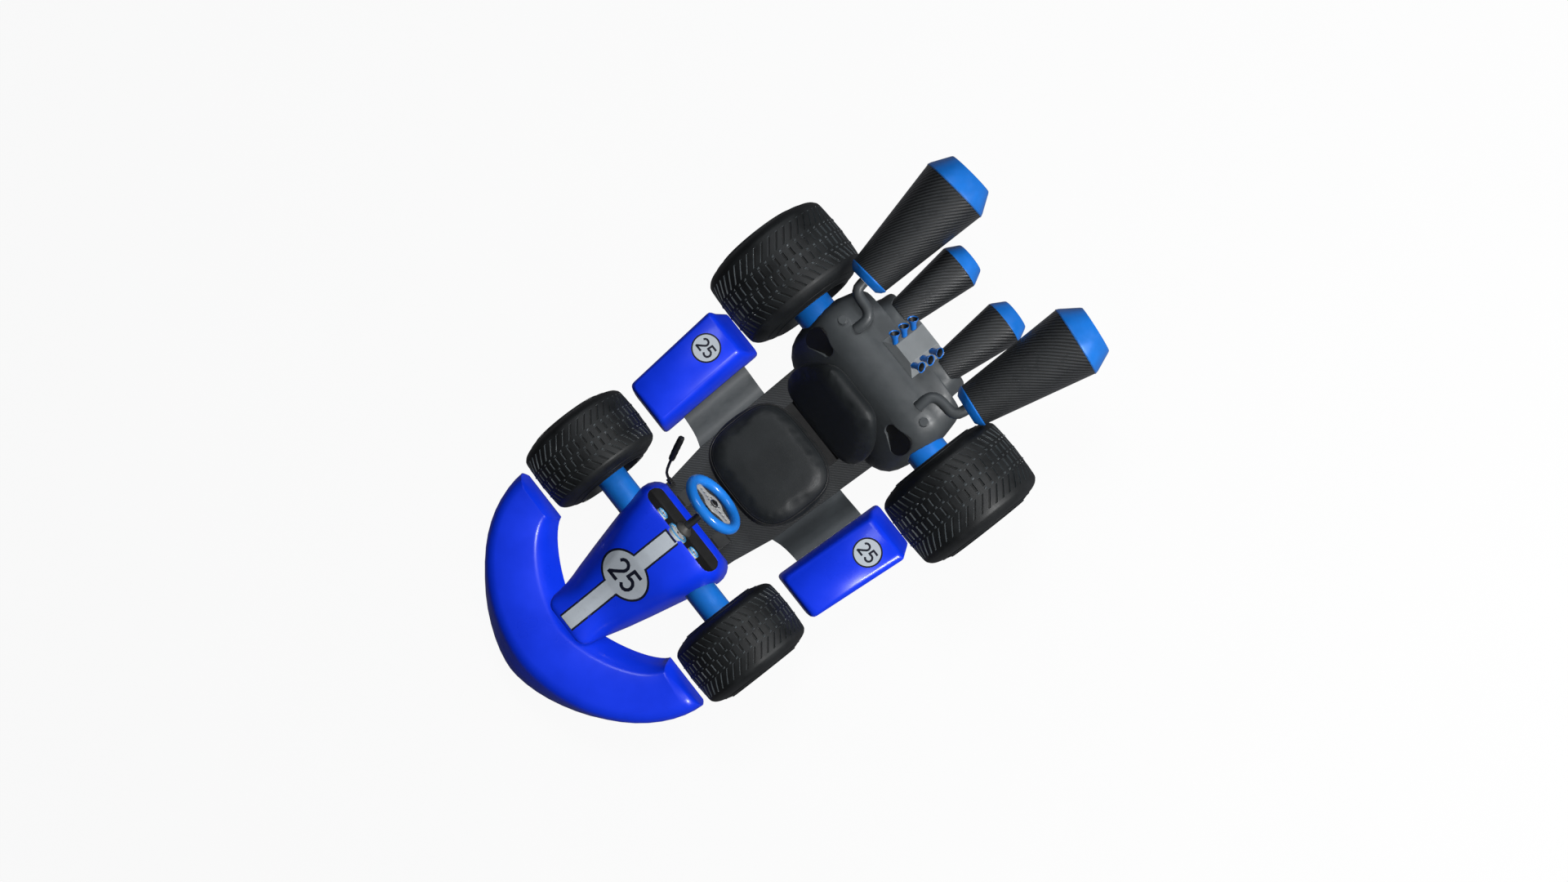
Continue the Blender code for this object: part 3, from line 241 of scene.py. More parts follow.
# =================================================================== materials
def plastic(name, colour, rough, coat, radius=0.004, painted_shade_inside=False):
    """Glossy moulded body plastic: orange peel, scuffs, paler rubbed edges, optional painted shade
    on faces that look inward or down.
    """
    look = new_look(name)
    soft = look.rounded(radius)
    broad = look.noise(scale=5.0)
    fine = look.noise(scale=420.0, detail=2)
    scratch = look.noise(scale=260.0, detail=4, rough=0.7, place=look.stretched(1.0, 0.06, 1.0))
    tone = look.shades(look.ramp(broad), colour, low=0.90, high=1.06)
    wear = look.ramp(look.noise(scale=60.0, detail=4), span=(0.42, 0.66))
    rubbed = look.times(look.edge(soft), wear, clamp=True)
    tone = look.mix(look.times(rubbed, 0.55), tone, scaled(colour, 1.0, lift=0.10))
    roughness = look.add(look.ramp(broad, span=(0.25, 0.75), to=(rough - 0.05, rough + 0.07)),
                         look.times(look.ramp(scratch, span=(0.62, 0.70)), 0.14))
    roughness = look.add(roughness, look.times(rubbed, 0.2), clamp=True)
    peel = look.add(look.times(fine, 0.35), look.times(look.noise(scale=34.0, detail=2), 0.65))
    normal = look.bump(peel, distance=0.00022, strength=0.40, normal=soft)
    if painted_shade_inside:
        # Painted shade: faces that look inward or down are painted dark, except at the very front.
        x, y, _ = look.split(look.place)
        normal_x, _, normal_z = look.split(look.normal)
        outward = look.times(look.math("SIGN", x), normal_x)
        inward = look.math("LESS_THAN", outward, -0.12)
        downward = look.math("LESS_THAN", normal_z, -0.25)
        behind = look.math("GREATER_THAN", y, SHIFT - 1.02)
        painted_shade = look.times(look.math("MAXIMUM", inward, downward), behind)
        tone = look.mix(painted_shade, tone, (0.007, 0.008, 0.012))
        roughness = look.blend(painted_shade, roughness, 0.75)
    return look.principled(Base_Color=look.calm(tone), Roughness=roughness, Normal=normal,
                           Coat_Weight=coat, Coat_Roughness=0.10, Specular_IOR_Level=0.40)


def paint(name, colour, rough, metallic, radius=0.0025):
    """Painted metal with a fine peel, dust in the roughness and bright chips on the edges."""
    look = new_look(name)
    soft = look.rounded(radius)
    chipped = look.ramp(look.noise(scale=130.0, detail=5, rough=0.7), span=(0.52, 0.60))
    chips = look.times(look.edge(soft), chipped, clamp=True)
    broad = look.ramp(look.noise(scale=9.0, detail=4), span=(0.3, 0.72))
    tone = look.shades(broad, colour, low=0.86, high=1.08)
    tone = look.mix(look.times(chips, 0.7), tone, (0.30, 0.33, 0.38))
    dust = look.ramp(look.noise(scale=28.0, detail=5), span=(0.3, 0.75),
                     to=(rough - 0.06, rough + 0.12))
    return look.principled(
        Base_Color=look.calm(tone), Metallic=metallic, Coat_Weight=0.35, Coat_Roughness=0.13,
        Roughness=look.add(dust, look.times(chips, 0.1), clamp=True),
        Normal=look.bump(look.noise(scale=300.0), distance=0.0004, strength=0.35, normal=soft))


def moulded(name, colour, rough, radius, grain):
    """Satin moulding or casting: fine grain, soft mottling, rubbed edges."""
    look = new_look(name)
    soft = look.rounded(radius)
    edge = look.edge(soft)
    broad = look.noise(scale=7.0, detail=5, rough=0.6)
    tone = look.shades(look.ramp(broad), colour, low=0.9, high=1.1)
    wear = look.ramp(look.noise(scale=70.0, detail=4), span=(0.35, 0.7), to=(0.05, 0.5))
    tone = look.mix(look.times(edge, wear), tone, scaled(colour, 1.9, lift=0.02))
    satin = look.ramp(look.noise(scale=40.0, detail=4), to=(rough - 0.06, rough + 0.08))
    height = look.add(look.times(look.voronoi(grain), 0.6),
                      look.times(look.noise(scale=grain * 0.35), 0.6))
    return look.principled(
        Base_Color=tone, Roughness=look.add(satin, look.times(edge, -0.08), clamp=True),
        Normal=look.bump(height, distance=0.00035, strength=0.5, normal=soft))


def steel(name, colour=(0.42, 0.43, 0.45), rough=0.30, stretch=(1.0, 60.0, 60.0), metallic=1.0):
    """Brushed metal, its lines running along the axis with the smallest stretch factor."""
    look = new_look(name)
    soft = look.rounded(0.0015)
    lines = look.noise(scale=14.0, detail=6, rough=0.75, place=look.stretched(*stretch))
    stain = look.noise(scale=16.0, detail=5)
    tone = look.shades(look.ramp(lines, span=(0.35, 0.65)), colour, low=0.72, high=1.0)
    stained = look.ramp(stain, span=(0.55, 0.8), to=(0, 0.5))
    tone = look.mix(stained, tone, scaled(colour, 0.45))
    roughness = look.add(look.ramp(lines, to=(rough - 0.08, rough + 0.10)),
                         look.ramp(stain, span=(0.5, 0.8), to=(0, 0.15)))
    normal = look.bump(lines, distance=0.0003, strength=0.4, normal=soft)
    return look.principled(Base_Color=tone, Roughness=roughness, Metallic=metallic,
                           Normal=normal, Anisotropic=0.4)


def twill(look, u, v):
    """2/2 twill from coordinates in tow widths.

    Gives the height, which way each tow runs, the share across the tow and the diagonal rib.
    """
    cell_u, cell_v = look.math("FLOOR", u), look.math("FLOOR", v)
    share_u = look.math("SUBTRACT", u, cell_u)
    share_v = look.math("SUBTRACT", v, cell_v)
    step = look.math("FLOORED_MODULO", look.add(cell_u, cell_v), 4.0)
    over = look.math("LESS_THAN", step, 1.5)
    across = look.blend(over, share_v, share_u)
    centred = look.times(look.math("SUBTRACT", across, 0.5), 2.0)
    crown = look.math("SUBTRACT", 1.0, look.math("POWER", look.math("ABSOLUTE", centred), 2.4))
    along = look.math("SUBTRACT", look.blend(over, share_u, share_v), 0.5)
    arch = look.math("SUBTRACT", 1.0, look.times(look.times(along, along), 0.9))
    phase = look.math("SUBTRACT", look.math("DIVIDE", look.add(u, v), 4.0), 0.375)
    wave = look.math("COSINE", look.times(phase, math.tau))
    rib = look.math("MULTIPLY_ADD", wave, 0.5, 0.5)
    return look.times(crown, arch), over, across, rib


def flat_tows(look, width):
    """Weave coordinates laid flat, counted from the plane x = 0.31."""
    x, y, _ = look.split(look.place)
    across = look.math("DIVIDE", look.math("SUBTRACT", 0.31, x), width)
    return across, look.math("DIVIDE", y, width)


def wrapped_tows(look, width, base, axis, radius):
    """Weave coordinates wrapped round an axis, a whole number of repeats to the turn."""
    axis = Vector(axis).normalized()
    side = axis.cross(Vector((0, 0, 1))).normalized()
    other = axis.cross(side)
    offset = look.vector("SUBTRACT", look.place, tuple(base))
    along, toward_side, toward_other = (
        look.vector("DOT_PRODUCT", offset, tuple(line)) for line in (axis, side, other))
    turn = look.math("ARCTAN2", toward_side, toward_other)
    count = 4 * round(math.tau * radius / (4 * width))
    return look.times(turn, count / math.tau), look.math("DIVIDE", along, width * 1.5)


def carbon(name, tows, gloss=0.30, pale=0.050, dark=0.0035):
    """Carbon twill in clear resin; `tows` gives the weave coordinates of a look. Tows on top and
    the diagonal ribs get a paler tone as painted sheen.
    """
    look = new_look(name)
    u, v = tows(look)
    height, over, across, rib = twill(look, u, v)
    strands = look.join(look.times(across, 9.0), look.math("FLOOR", u), look.math("FLOOR", v))
    fibres = look.noise(scale=3.0, detail=2, rough=0.5, place=strands)
    # Painted sheen: tows on top and the ribs are paler, standing in for the light they catch.
    lit = look.math("MULTIPLY_ADD", over, 0.30,
                    look.times(look.ramp(rib, span=(0.35, 0.80)), 0.70))
    tone = look.mix(lit, (dark, dark * 1.15, dark * 1.3), (pale, pale * 1.08, pale * 1.15))
    tone = look.mix(look.times(look.ramp(fibres), 0.30), tone,
                    (dark * 3.0, dark * 3.3, dark * 3.6))
    # Painted shade: the low edges between tows are darkened.
    gap_shade = look.ramp(height, span=(0.0, 0.30), to=(0.45, 0.0))
    tone = look.mix(gap_shade, tone, (0.003, 0.003, 0.003))
    roughness = look.add(look.blend(lit, gloss + 0.18, gloss),
                         look.ramp(look.noise(scale=24.0, detail=4), to=(-0.05, 0.08)))
    relief = look.add(look.times(height, 0.30), look.times(rib, 1.1))
    relief = look.add(relief, look.times(fibres, 0.08))
    normal = look.bump(relief, distance=0.0011, strength=0.85, normal=look.rounded(0.002))
    return look.principled(Base_Color=tone, Roughness=roughness, Normal=normal,
                           Coat_Weight=0.55, Coat_Roughness=0.24, Specular_IOR_Level=0.55)


def rubber(name, brightness=1.0, rough=0.47):
    """Tyre rubber: mottled, with worn edges and dusty patches."""
    look = new_look(name)
    soft = look.rounded(0.0012)
    edge = look.edge(soft, amount=5.0)
    broad = look.ramp(look.noise(scale=12.0, detail=5, rough=0.6))
    tone = look.mix(broad, scaled((0.0056, 0.0066, 0.0074), brightness),
                    scaled((0.0100, 0.0118, 0.0132), brightness))
    wear = look.ramp(look.noise(scale=90.0, detail=4), span=(0.35, 0.65), to=(0.10, 0.6))
    tone = look.mix(look.times(edge, wear), tone, scaled((0.050, 0.052, 0.052), brightness))
    dust = look.ramp(look.noise(scale=30.0, detail=6, rough=0.7), span=(0.60, 0.85),
                     to=(0, 0.22))
    tone = look.mix(dust, tone, scaled((0.036, 0.034, 0.031), brightness))
    satin = look.ramp(look.noise(scale=12.0, detail=5, rough=0.6), to=(rough, rough + 0.15))
    height = look.add(look.times(look.noise(scale=650.0), 0.5),
                      look.times(look.noise(scale=110.0, detail=4), 0.5))
    return look.principled(
        Base_Color=tone, Roughness=look.add(satin, look.times(edge, -0.10)),
        Normal=look.bump(height, distance=0.0007, strength=0.55, normal=soft),
        Specular_IOR_Level=0.45)


def vinyl(name, colour, rough):
    """Seat vinyl: pebbled grain and fine creases."""
    look = new_look(name)
    waver = look.join(*(look.noise(scale=scale, detail=2) for scale in (40.0, 47.0, 53.0)))
    warped = look.vector("ADD", look.place, look.vector("SCALE", waver, scale=0.012))
    pebble = look.voronoi(330.0, feature="SMOOTH_F1", place=warped)
    cells = look.voronoi(330.0, feature="DISTANCE_TO_EDGE", place=warped)
    creases = look.noise(scale=60.0, detail=5, rough=0.65, distortion=0.6,
                         place=look.stretched(1.0, 0.45, 1.0))
    broad = look.noise(scale=6.0, detail=4)
    valley = look.ramp(cells, span=(0.0, 0.10), to=(1.0, 0.0))
    tone = look.shades(look.ramp(broad), colour, low=0.82, high=1.15)
    # Painted shade darkens the grain's valleys, which are also made rougher.
    tone = look.mix(look.times(valley, 0.40), tone, scaled(colour, 0.5))
    roughness = look.add(look.ramp(broad, to=(rough - 0.05, rough + 0.07)),
                         look.times(valley, 0.2))
    raised = look.add(look.times(creases, 0.8), look.times(cells, 1.6))
    height = look.math("SUBTRACT", raised, look.times(pebble, 0.5))
    return look.principled(
        Base_Color=tone, Roughness=roughness, Sheen_Weight=0.05, Specular_IOR_Level=0.45,
        Normal=look.bump(height, distance=0.00040, strength=0.45))


def enamel(name, colour, rough=0.30):
    """Printed film: faint print grain, dirt, softly worn."""
    look = new_look(name)
    dirt = look.noise(scale=45.0, detail=6, rough=0.7)
    tone = look.mix(look.ramp(dirt, span=(0.50, 0.78), to=(0, 0.30)), colour,
                    scaled(colour, 0.62))
    grain = look.ramp(look.noise(scale=800.0, detail=2), span=(0.4, 0.6), to=(0, 0.06))
    tone = look.mix(grain, tone, scaled(colour, 0.5))
    return look.principled(
        Base_Color=tone, Coat_Weight=0.3, Coat_Roughness=0.12,
        Roughness=look.ramp(dirt, span=(0.3, 0.8), to=(rough - 0.05, rough + 0.2)),
        Normal=look.bump(look.noise(scale=240.0), distance=0.0002, strength=0.4))


BODY_COLOUR = (0.0045, 0.046, 0.98)
BLUE = plastic("look_body_blue", BODY_COLOUR, rough=0.31, coat=0.12)
# The hood's copy of the body blue carries painted shade on its inward and downward faces.
BLUE_HOOD_PAINTED_SHADE = plastic("look_body_blue_hood_painted_shade", BODY_COLOUR, rough=0.31, coat=0.12,
                    painted_shade_inside=True)
WHEEL_BLUE = plastic("look_wheel_blue", (0.016, 0.245, 0.88), rough=0.24, coat=0.45,
                     radius=0.002)
DIAL_RING = plastic("look_dial_ring", (0.07, 0.36, 0.72), rough=0.25, coat=0.4, radius=0.001)

ACCENT = paint("look_accent_blue", (0.009, 0.200, 0.76), rough=0.34, metallic=0.10)
DARK = paint("look_dark_metal", (0.030, 0.030, 0.030), rough=0.40, metallic=0.55,
             radius=0.0015)
RIM = paint("look_wheel_metal", (0.055, 0.058, 0.062), rough=0.36, metallic=0.75,
            radius=0.0018)
PEDAL = paint("look_pedal_metal", (0.040, 0.042, 0.044), rough=0.42, metallic=0.5,
              radius=0.0015)

ENGINE = moulded("look_engine_grey", (0.064, 0.071, 0.076), rough=0.44, radius=0.006,
                 grain=620.0)
WING = moulded("look_wing_grey", (0.067, 0.075, 0.081), rough=0.42, radius=0.003, grain=760.0)
COVER = moulded("look_cover_grey", (0.225, 0.240, 0.250), rough=0.40, radius=0.002,
                grain=700.0)
BLACK = moulded("look_black_plastic", (0.0085, 0.0085, 0.009), rough=0.52, radius=0.002,
                grain=900.0)
COLLAR = moulded("look_collar_grey", (0.048, 0.047, 0.043), rough=0.50, radius=0.002,
                 grain=700.0)

STEEL = steel("look_steel")
SHAFT = steel("look_shaft_steel", (0.16, 0.16, 0.16), rough=0.36, stretch=(60.0, 1.0, 60.0),
              metallic=0.9)
SPOKE = steel("look_spoke_plate", (0.80, 0.80, 0.79), stretch=(1.0, 40.0, 40.0),
              metallic=0.35)

RUBBER = rubber("look_tyre_rubber")
# Groove floors get a much darker rubber as painted shade in the grooves.
RUBBER_GROOVE_SHADE = rubber("look_tyre_groove_painted_shade", brightness=0.28, rough=0.62)
# Groove walls and nubs get a much lighter, glossier rubber; the lighter tone is a painted glint on
# the groove edges.
RUBBER_LIP_GLINT = rubber("look_tyre_lip_painted_glint", brightness=6.5, rough=0.24)

VINYL = vinyl("look_seat_vinyl", (0.0095, 0.0122, 0.0142), rough=0.47)
# The piping is a darker vinyl and also stands in as painted shade for the dark line along the
# cushion's edge.
PIPING = vinyl("look_seat_piping", (0.0060, 0.0060, 0.0065), rough=0.42)
THREAD = vinyl("look_thread", (0.035, 0.037, 0.040), rough=0.6)

FILM_PALE = enamel("look_film_pale", (0.56, 0.61, 0.67))
FILM_DARK = enamel("look_film_dark", (0.008, 0.010, 0.024))
DIAL_FACE = enamel("look_dial_face", (0.74, 0.80, 0.82), rough=0.22)
NEEDLE = enamel("look_needle", (0.62, 0.04, 0.02))

FLOOR_CARBON = carbon("look_carbon_floor", lambda look: flat_tows(look, width=0.0035),
                      gloss=0.40, pale=0.034, dark=0.0125)


def cone_look(name, base, end, radius):
    """Carbon wrapped round a cone's middle line."""
    return carbon(f"look_carbon_{name}", lambda look: wrapped_tows(
        look, width=0.0036, base=base, axis=end - base, radius=radius))


# ================================================================== CAD pieces
# Each look and how the names of its CAD pieces begin; the first match counts.
NODE_LOOKS = [
    (FLOOR_CARBON, "floor_pan"),
    (WING, "side_wing_"),
    (BLUE, ("side_pod_", "front_bumper")),
    (BLUE_HOOD_PAINTED_SHADE, "nose_cone"),
    # The black dash panel also stands in partly as painted shade for the dark inside of the hood's
    # slot.
    (BLACK, ("dash_panel", "seat_pan", "horn_button", "intake_")),
    (DIAL_FACE, "gauge_"),
    (COLLAR, "column_bracket"),
    (DARK, ("axle_saddle", "gear_bracket", "gear_lever")),
    (SHAFT, "steering_shaft"),
    (PEDAL, ("brake_pedal", "throttle_pedal")),
    (ACCENT, ("front_axle_beam", "rear_tube_", "exhaust_ring", "exhaust_tip", "small_tip",
              "trumpet")),
    (ENGINE, ("engine_block", "pipe_")),
    (COVER, "engine_cover"),
    (WHEEL_BLUE, "steering_rim"),
    (SPOKE, "steering_spokes"),
    (STEEL, ("knuckle_", "rear_axle")),
    (RIM, "rim_"),
    (RUBBER, "tyre_"),
    (VINYL, "seat_"),
]
for sign, side, _ in SIDES:
    for name, base, end, radius in (("exhaust_cone", EXHAUST_BASE, EXHAUST_END, 0.118),
                                    ("small_cone", SMALL_BASE, SMALL_END, 0.078)):
        cone = f"{name}_{side}"
        NODE_LOOKS.append(
            (cone_look(cone, mirrored(base, sign), mirrored(end, sign), radius), cone))

# Edges up to this many degrees are smoothed.
SMOOTH_ANGLE = 33
SMOOTH_ANGLES = {
    "engine_block": 40, "nose_cone": 38, "front_bumper": 50, "engine_cover": 15,
    "side_pod_l": 48, "side_pod_r": 48, "exhaust_ring_l": 22, "exhaust_ring_r": 22,
}


def paint_nodes():
    """Gives each CAD mesh its look and clears its custom normals."""
    for name, node in NODES.items():
        look = next(look for look, starts in NODE_LOOKS if name.startswith(starts))
        node.data.materials.clear()
        node.data.materials.append(look)
        if node.data.has_custom_normals:
            with bpy.context.temp_override(object=node, active_object=node, mesh=node.data):
                bpy.ops.mesh.customdata_custom_splitnormals_clear()


def smooth_nodes():
    """Joins the split corners of each CAD mesh and smooths it by angle, as modifiers."""
    group = bpy.data.node_groups.new("smooth_by_angle", "GeometryNodeTree")
    socket = group.interface.new_socket
    socket("Geometry", in_out="INPUT", socket_type="NodeSocketGeometry")
    angle = socket("Angle", in_out="INPUT", socket_type="NodeSocketFloat")
    socket("Geometry", in_out="OUTPUT", socket_type="NodeSocketGeometry")
    start, end = group.nodes.new("NodeGroupInput"), group.nodes.new("NodeGroupOutput")
    edge = group.nodes.new("GeometryNodeInputMeshEdgeAngle")
    test = group.nodes.new("FunctionNodeCompare")
    test.operation = "LESS_EQUAL"
    sharp = group.nodes.new("GeometryNodeSetShadeSmooth")
    sharp.domain = "EDGE"
    flat = group.nodes.new("GeometryNodeSetShadeSmooth")
    flat.domain = "FACE"
    link = group.links.new
    link(start.outputs[0], flat.inputs["Geometry"])
    link(flat.outputs[0], sharp.inputs["Geometry"])
    link(edge.outputs["Unsigned Angle"], test.inputs[0])
    link(start.outputs[1], test.inputs[1])
    link(test.outputs[0], sharp.inputs["Shade Smooth"])
    link(sharp.outputs[0], end.inputs[0])
    for name, node in NODES.items():
        weld = node.modifiers.new("weld", "WELD")
        weld.merge_threshold = 0.00002
        smooth = node.modifiers.new("smooth", "NODES")
        smooth.node_group = group
        smooth[angle.identifier] = math.radians(SMOOTH_ANGLES.get(name, SMOOTH_ANGLE))


paint_nodes()
smooth_nodes()


# ============================================================== geometry tools
def mesh_from(name, bm):
    mesh = bpy.data.meshes.new(name)
    bm.to_mesh(mesh)
    bm.free()
    return mesh


def shape(name, bm, look, body=None, angle=35):
    """Turns a bmesh into an object, sharp above an angle in degrees, riding on a body."""
    bmesh.ops.remove_doubles(bm, verts=bm.verts, dist=1e-6)
    bmesh.ops.recalc_face_normals(bm, faces=bm.faces)
    mesh = mesh_from(name, bm)
    mesh.shade_smooth()
    mesh.set_sharp_from_angle(angle=math.radians(angle))
    made = bpy.data.objects.new(name, mesh)
    mesh.materials.append(look)
    bpy.context.scene.collection.objects.link(made)
    if body:
        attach(made, body)
    return made


def apply_modifier(obj, kind, **settings):
    """Adds a modifier and applies it at once."""
    for other in bpy.context.selected_objects:
        other.select_set(False)
    obj.select_set(True)
    bpy.context.view_layer.objects.active = obj
    modifier = obj.modifiers.new(kind.lower(), kind)
    for key, value in settings.items():
        setattr(modifier, key, value)
    bpy.ops.object.modifier_apply(modifier=modifier.name)


def surface_tree(obj):
    bm = bmesh.new()
    bm.from_mesh(obj.data)
    tree = BVHTree.FromBMesh(bm)
    bm.free()
    return tree


def basis(axis):
    """A turn that takes Z to the axis; the axis must not be vertical."""
    z = Vector(axis).normalized()
    x = Vector((0, 0, 1)).cross(z).normalized()
    return Matrix((x, z.cross(x), z)).transposed()


def polar(centre, turn, along, radius, angle):
    """A point at an angle round a turned axis."""
    return Vector(centre) + turn @ Vector((radius * math.cos(angle),
                                           radius * math.sin(angle), along))


def circle(centre, turn, along, radius, steps):
    return [polar(centre, turn, along, radius, math.tau * k / steps) for k in range(steps)]


def lathe(profile, centre, axis, steps, bm=None):
    """Spins (along, radius) points round the axis.

    Points on the axis become poles; a profile without poles at its ends closes on itself.
    """
    bm = bm or bmesh.new()
    turn = basis(axis)
    rings = []
    for along, radius in profile:
        if radius < 1e-7:
            points = [Vector(centre) + turn @ Vector((0, 0, along))]
        else:
            points = circle(centre, turn, along, radius, steps)
        rings.append([bm.verts.new(point) for point in points])
    pairs = list(zip(rings, rings[1:]))
    if len(rings[0]) > 1 and len(rings[-1]) > 1:
        pairs.append((rings[-1], rings[0]))
    for near, far in pairs:
        for k in range(steps):
            j = (k + 1) % steps
            if len(near) == 1:
                bm.faces.new((near[0], far[k], far[j]))
            elif len(far) == 1:
                bm.faces.new((near[k], far[0], near[j]))
            else:
                bm.faces.new((near[k], far[k], far[j], near[j]))
    return bm


def tube(points, radius, around, closed=False, bm=None):
    """A round tube along points; the radius is one value or one for each point."""
    bm = bm or bmesh.new()
    points = [Vector(point) for point in points]
    count = len(points)
    rings, side = [], None
    for i, point in enumerate(points):
        if closed:
            ahead = points[(i + 1) % count] - points[i - 1]
        else:
            ahead = points[min(i + 1, count - 1)] - points[max(i - 1, 0)]
        ahead.normalize()
        if side is None:
            side = ahead.cross(Vector((0, 0, 1)))
            if side.length < 1e-5:
                side = ahead.cross(Vector((1, 0, 0)))
        side = (side - ahead * side.dot(ahead)).normalized()
        other = ahead.cross(side)
        size = radius[i] if isinstance(radius, list) else radius
        ring = []
        for k in range(around):
            turn = math.tau * k / around
            ring.append(bm.verts.new(
                point + side * (size * math.cos(turn)) + other * (size * math.sin(turn))))
        rings.append(ring)
    for i in range(count if closed else count - 1):
        near, far = rings[i], rings[(i + 1) % count]
        for k in range(around):
            j = (k + 1) % around
            bm.faces.new((near[k], far[k], far[j], near[j]))
    if not closed:
        bm.faces.new(rings[0])
        bm.faces.new(rings[-1])
    return bm


def loft(rings, bm=None, closed=False):
    """Joins rings of points in turn, then caps the ends or, if closed, joins them."""
    bm = bm or bmesh.new()
    made = [[bm.verts.new(point) for point in ring] for ring in rings]
    count = len(made[0])
    for near, far in zip(made, made[1:] + made[:1] if closed else made[1:]):
        for i in range(count):
            j = (i + 1) % count
            bm.faces.new((near[i], near[j], far[j], far[i]))
    if not closed:
        bm.faces.new(made[0])
        bm.faces.new(made[-1])
    return bm


def superellipse(half_x, half_y, exponent, steps, offset=0.0):
    """(x, y) points round a squared-off ellipse, the first `offset` steps past +X."""
    def power(value):
        return math.copysign(abs(value) ** exponent, value)

    turns = [math.tau * (k + offset) / steps for k in range(steps)]
    return [(half_x * power(math.cos(turn)), half_y * power(math.sin(turn)))
            for turn in turns]


def curve_through(points, per):
    """A Catmull-Rom line through points, `per` steps to each span."""
    points = [Vector(point) for point in points]
    points = [2 * points[0] - points[1]] + points + [2 * points[-1] - points[-2]]
    out = []
    for a, b, c, d in zip(points, points[1:], points[2:], points[3:]):
        for k in range(per):
            t = k / per
            out.append(0.5 * (2 * b + (c - a) * t + (2 * a - 5 * b + 4 * c - d) * t * t
                              + (3 * b - a - 3 * c + d) * t ** 3))
    out.append(points[-2])
    return out


# ====================================================================== wheels
# Half of each tyre's section from the bead to the crown: (distance from the middle, radius).
FRONT_SECTION = (
    (0.116, 0.1283), (0.1480, 0.1340), (0.1500, 0.1500), (0.1400, 0.1850),
    (0.1305, 0.2120), (0.1180, 0.2295), (0.0950, 0.2385), (0.0, 0.243))
REAR_SECTION = (
    (0.140, 0.1503), (0.1780, 0.1570), (0.1800, 0.1755), (0.1695, 0.2170),
    (0.1595, 0.2485), (0.1440, 0.2690), (0.1160, 0.2795), (0.0, 0.285))

# The tread pattern is sized for the rear tyres and scaled for the front ones.
TREAD_START = -0.126  # the first row's inboard edge, from the tyre's middle
# Rows across the tread: start, end, column in the pitch, kind.
TREAD_ROWS = (
    (0.000, 0.046, 0, "groove"), (0.0525, 0.0605, 0, "nub"), (0.0670, 0.1040, 1, "groove"),
    (0.1095, 0.1175, 1, "nub"), (0.1235, 0.1620, 0, "groove"), (0.1675, 0.1755, 0, "nub"),
    (0.1820, 0.2440, 1, "groove"))
GROOVE_DEPTH = 0.0060
NUB_HEIGHT = 0.0026
TREAD_LIP = 0.0016  # width of the sloping ends of grooves and nubs
CROWN_RISE = 0.0012  # how far nubs may stand above the crown
WALL_GAP = 0.004  # least distance from the tread pattern to the wall's points
# Steps round one pitch: share of the pitch, column, whether it lies on the column's floor.
PITCH_STEPS = [(middle + offset, column, abs(offset) < 0.12)
               for middle, column in ((0.25, 0), (0.75, 1))
               for offset in (-0.150, -0.105, 0.105, 0.150)]
# The outer rows slant: where each slant begins and its slope.
INNER_SLANT, INNER_SLOPE = 0.0565, 0.62
OUTER_SLANT, OUTER_SLOPE = 0.1715, 0.80

# Tag, body, section, half track, Y, tread pitches, hub radius, hub reach.
AXLES = (
    ("f", "wheel_front_{word}", FRONT_SECTION, 0.493, -0.525, 44, 0.030, 0.066),
    ("r", "rear_axle_set", REAR_SECTION, 0.565, 0.531, 48, 0.036, 0.062))

# (along, radius) from the wheel's face outward.
WHEEL_BOLT = (
    (0.0, 0), (0.0, 0.0105), (0.0030, 0.0105), (0.0034, 0.0082), (0.0098, 0.0078),
    (0.0108, 0.0066), (0.0108, 0.0040), (0.0085, 0.0034), (0.0085, 0))
# (along, radius in hub radii).
HUB_CAP = (
    (0.0, 0), (0.0, 0.66), (0.0030, 0.64), (0.0040, 0.50), (0.0026, 0.46), (0.0034, 0.16),
    (0.0048, 0))


def tread_stations(scale):
    """(distance from the middle, (column, kind) or None) across the tread."""
    start, lip = TREAD_START * scale, TREAD_LIP * scale
    stations = []
    for low, high, column, kind in TREAD_ROWS:
        low, high = start + low * scale, start + high * scale
        stations.append((low, None))
        stations += [(along, (column, kind))
                     for along in (low + lip, (low + high) / 2, high - lip)]
        stations.append((high, None))
    return stations


def line_radius(line, along):
    """The tread's radius at a distance from the middle, found from the crown outward."""
    for (a0, r0), (a1, r1) in reversed(list(zip(line, line[1:]))):
        if min(a0, a1) <= abs(along) <= max(a0, a1):
            return r0 + (r1 - r0) * (abs(along) - a0) / (a1 - a0)


def tread_lead(along, scale, crown):
    """How far the pattern leads round the tyre, in radians, at a distance across it."""
    across = (along - TREAD_START * scale) / scale
    inner = max(0.0, INNER_SLANT - max(across, 0.0)) * INNER_SLOPE
    outer = max(0.0, min(across, TREAD_ROWS[-1][1]) - OUTER_SLANT) * OUTER_SLOPE
    return (inner + outer) * scale / crown


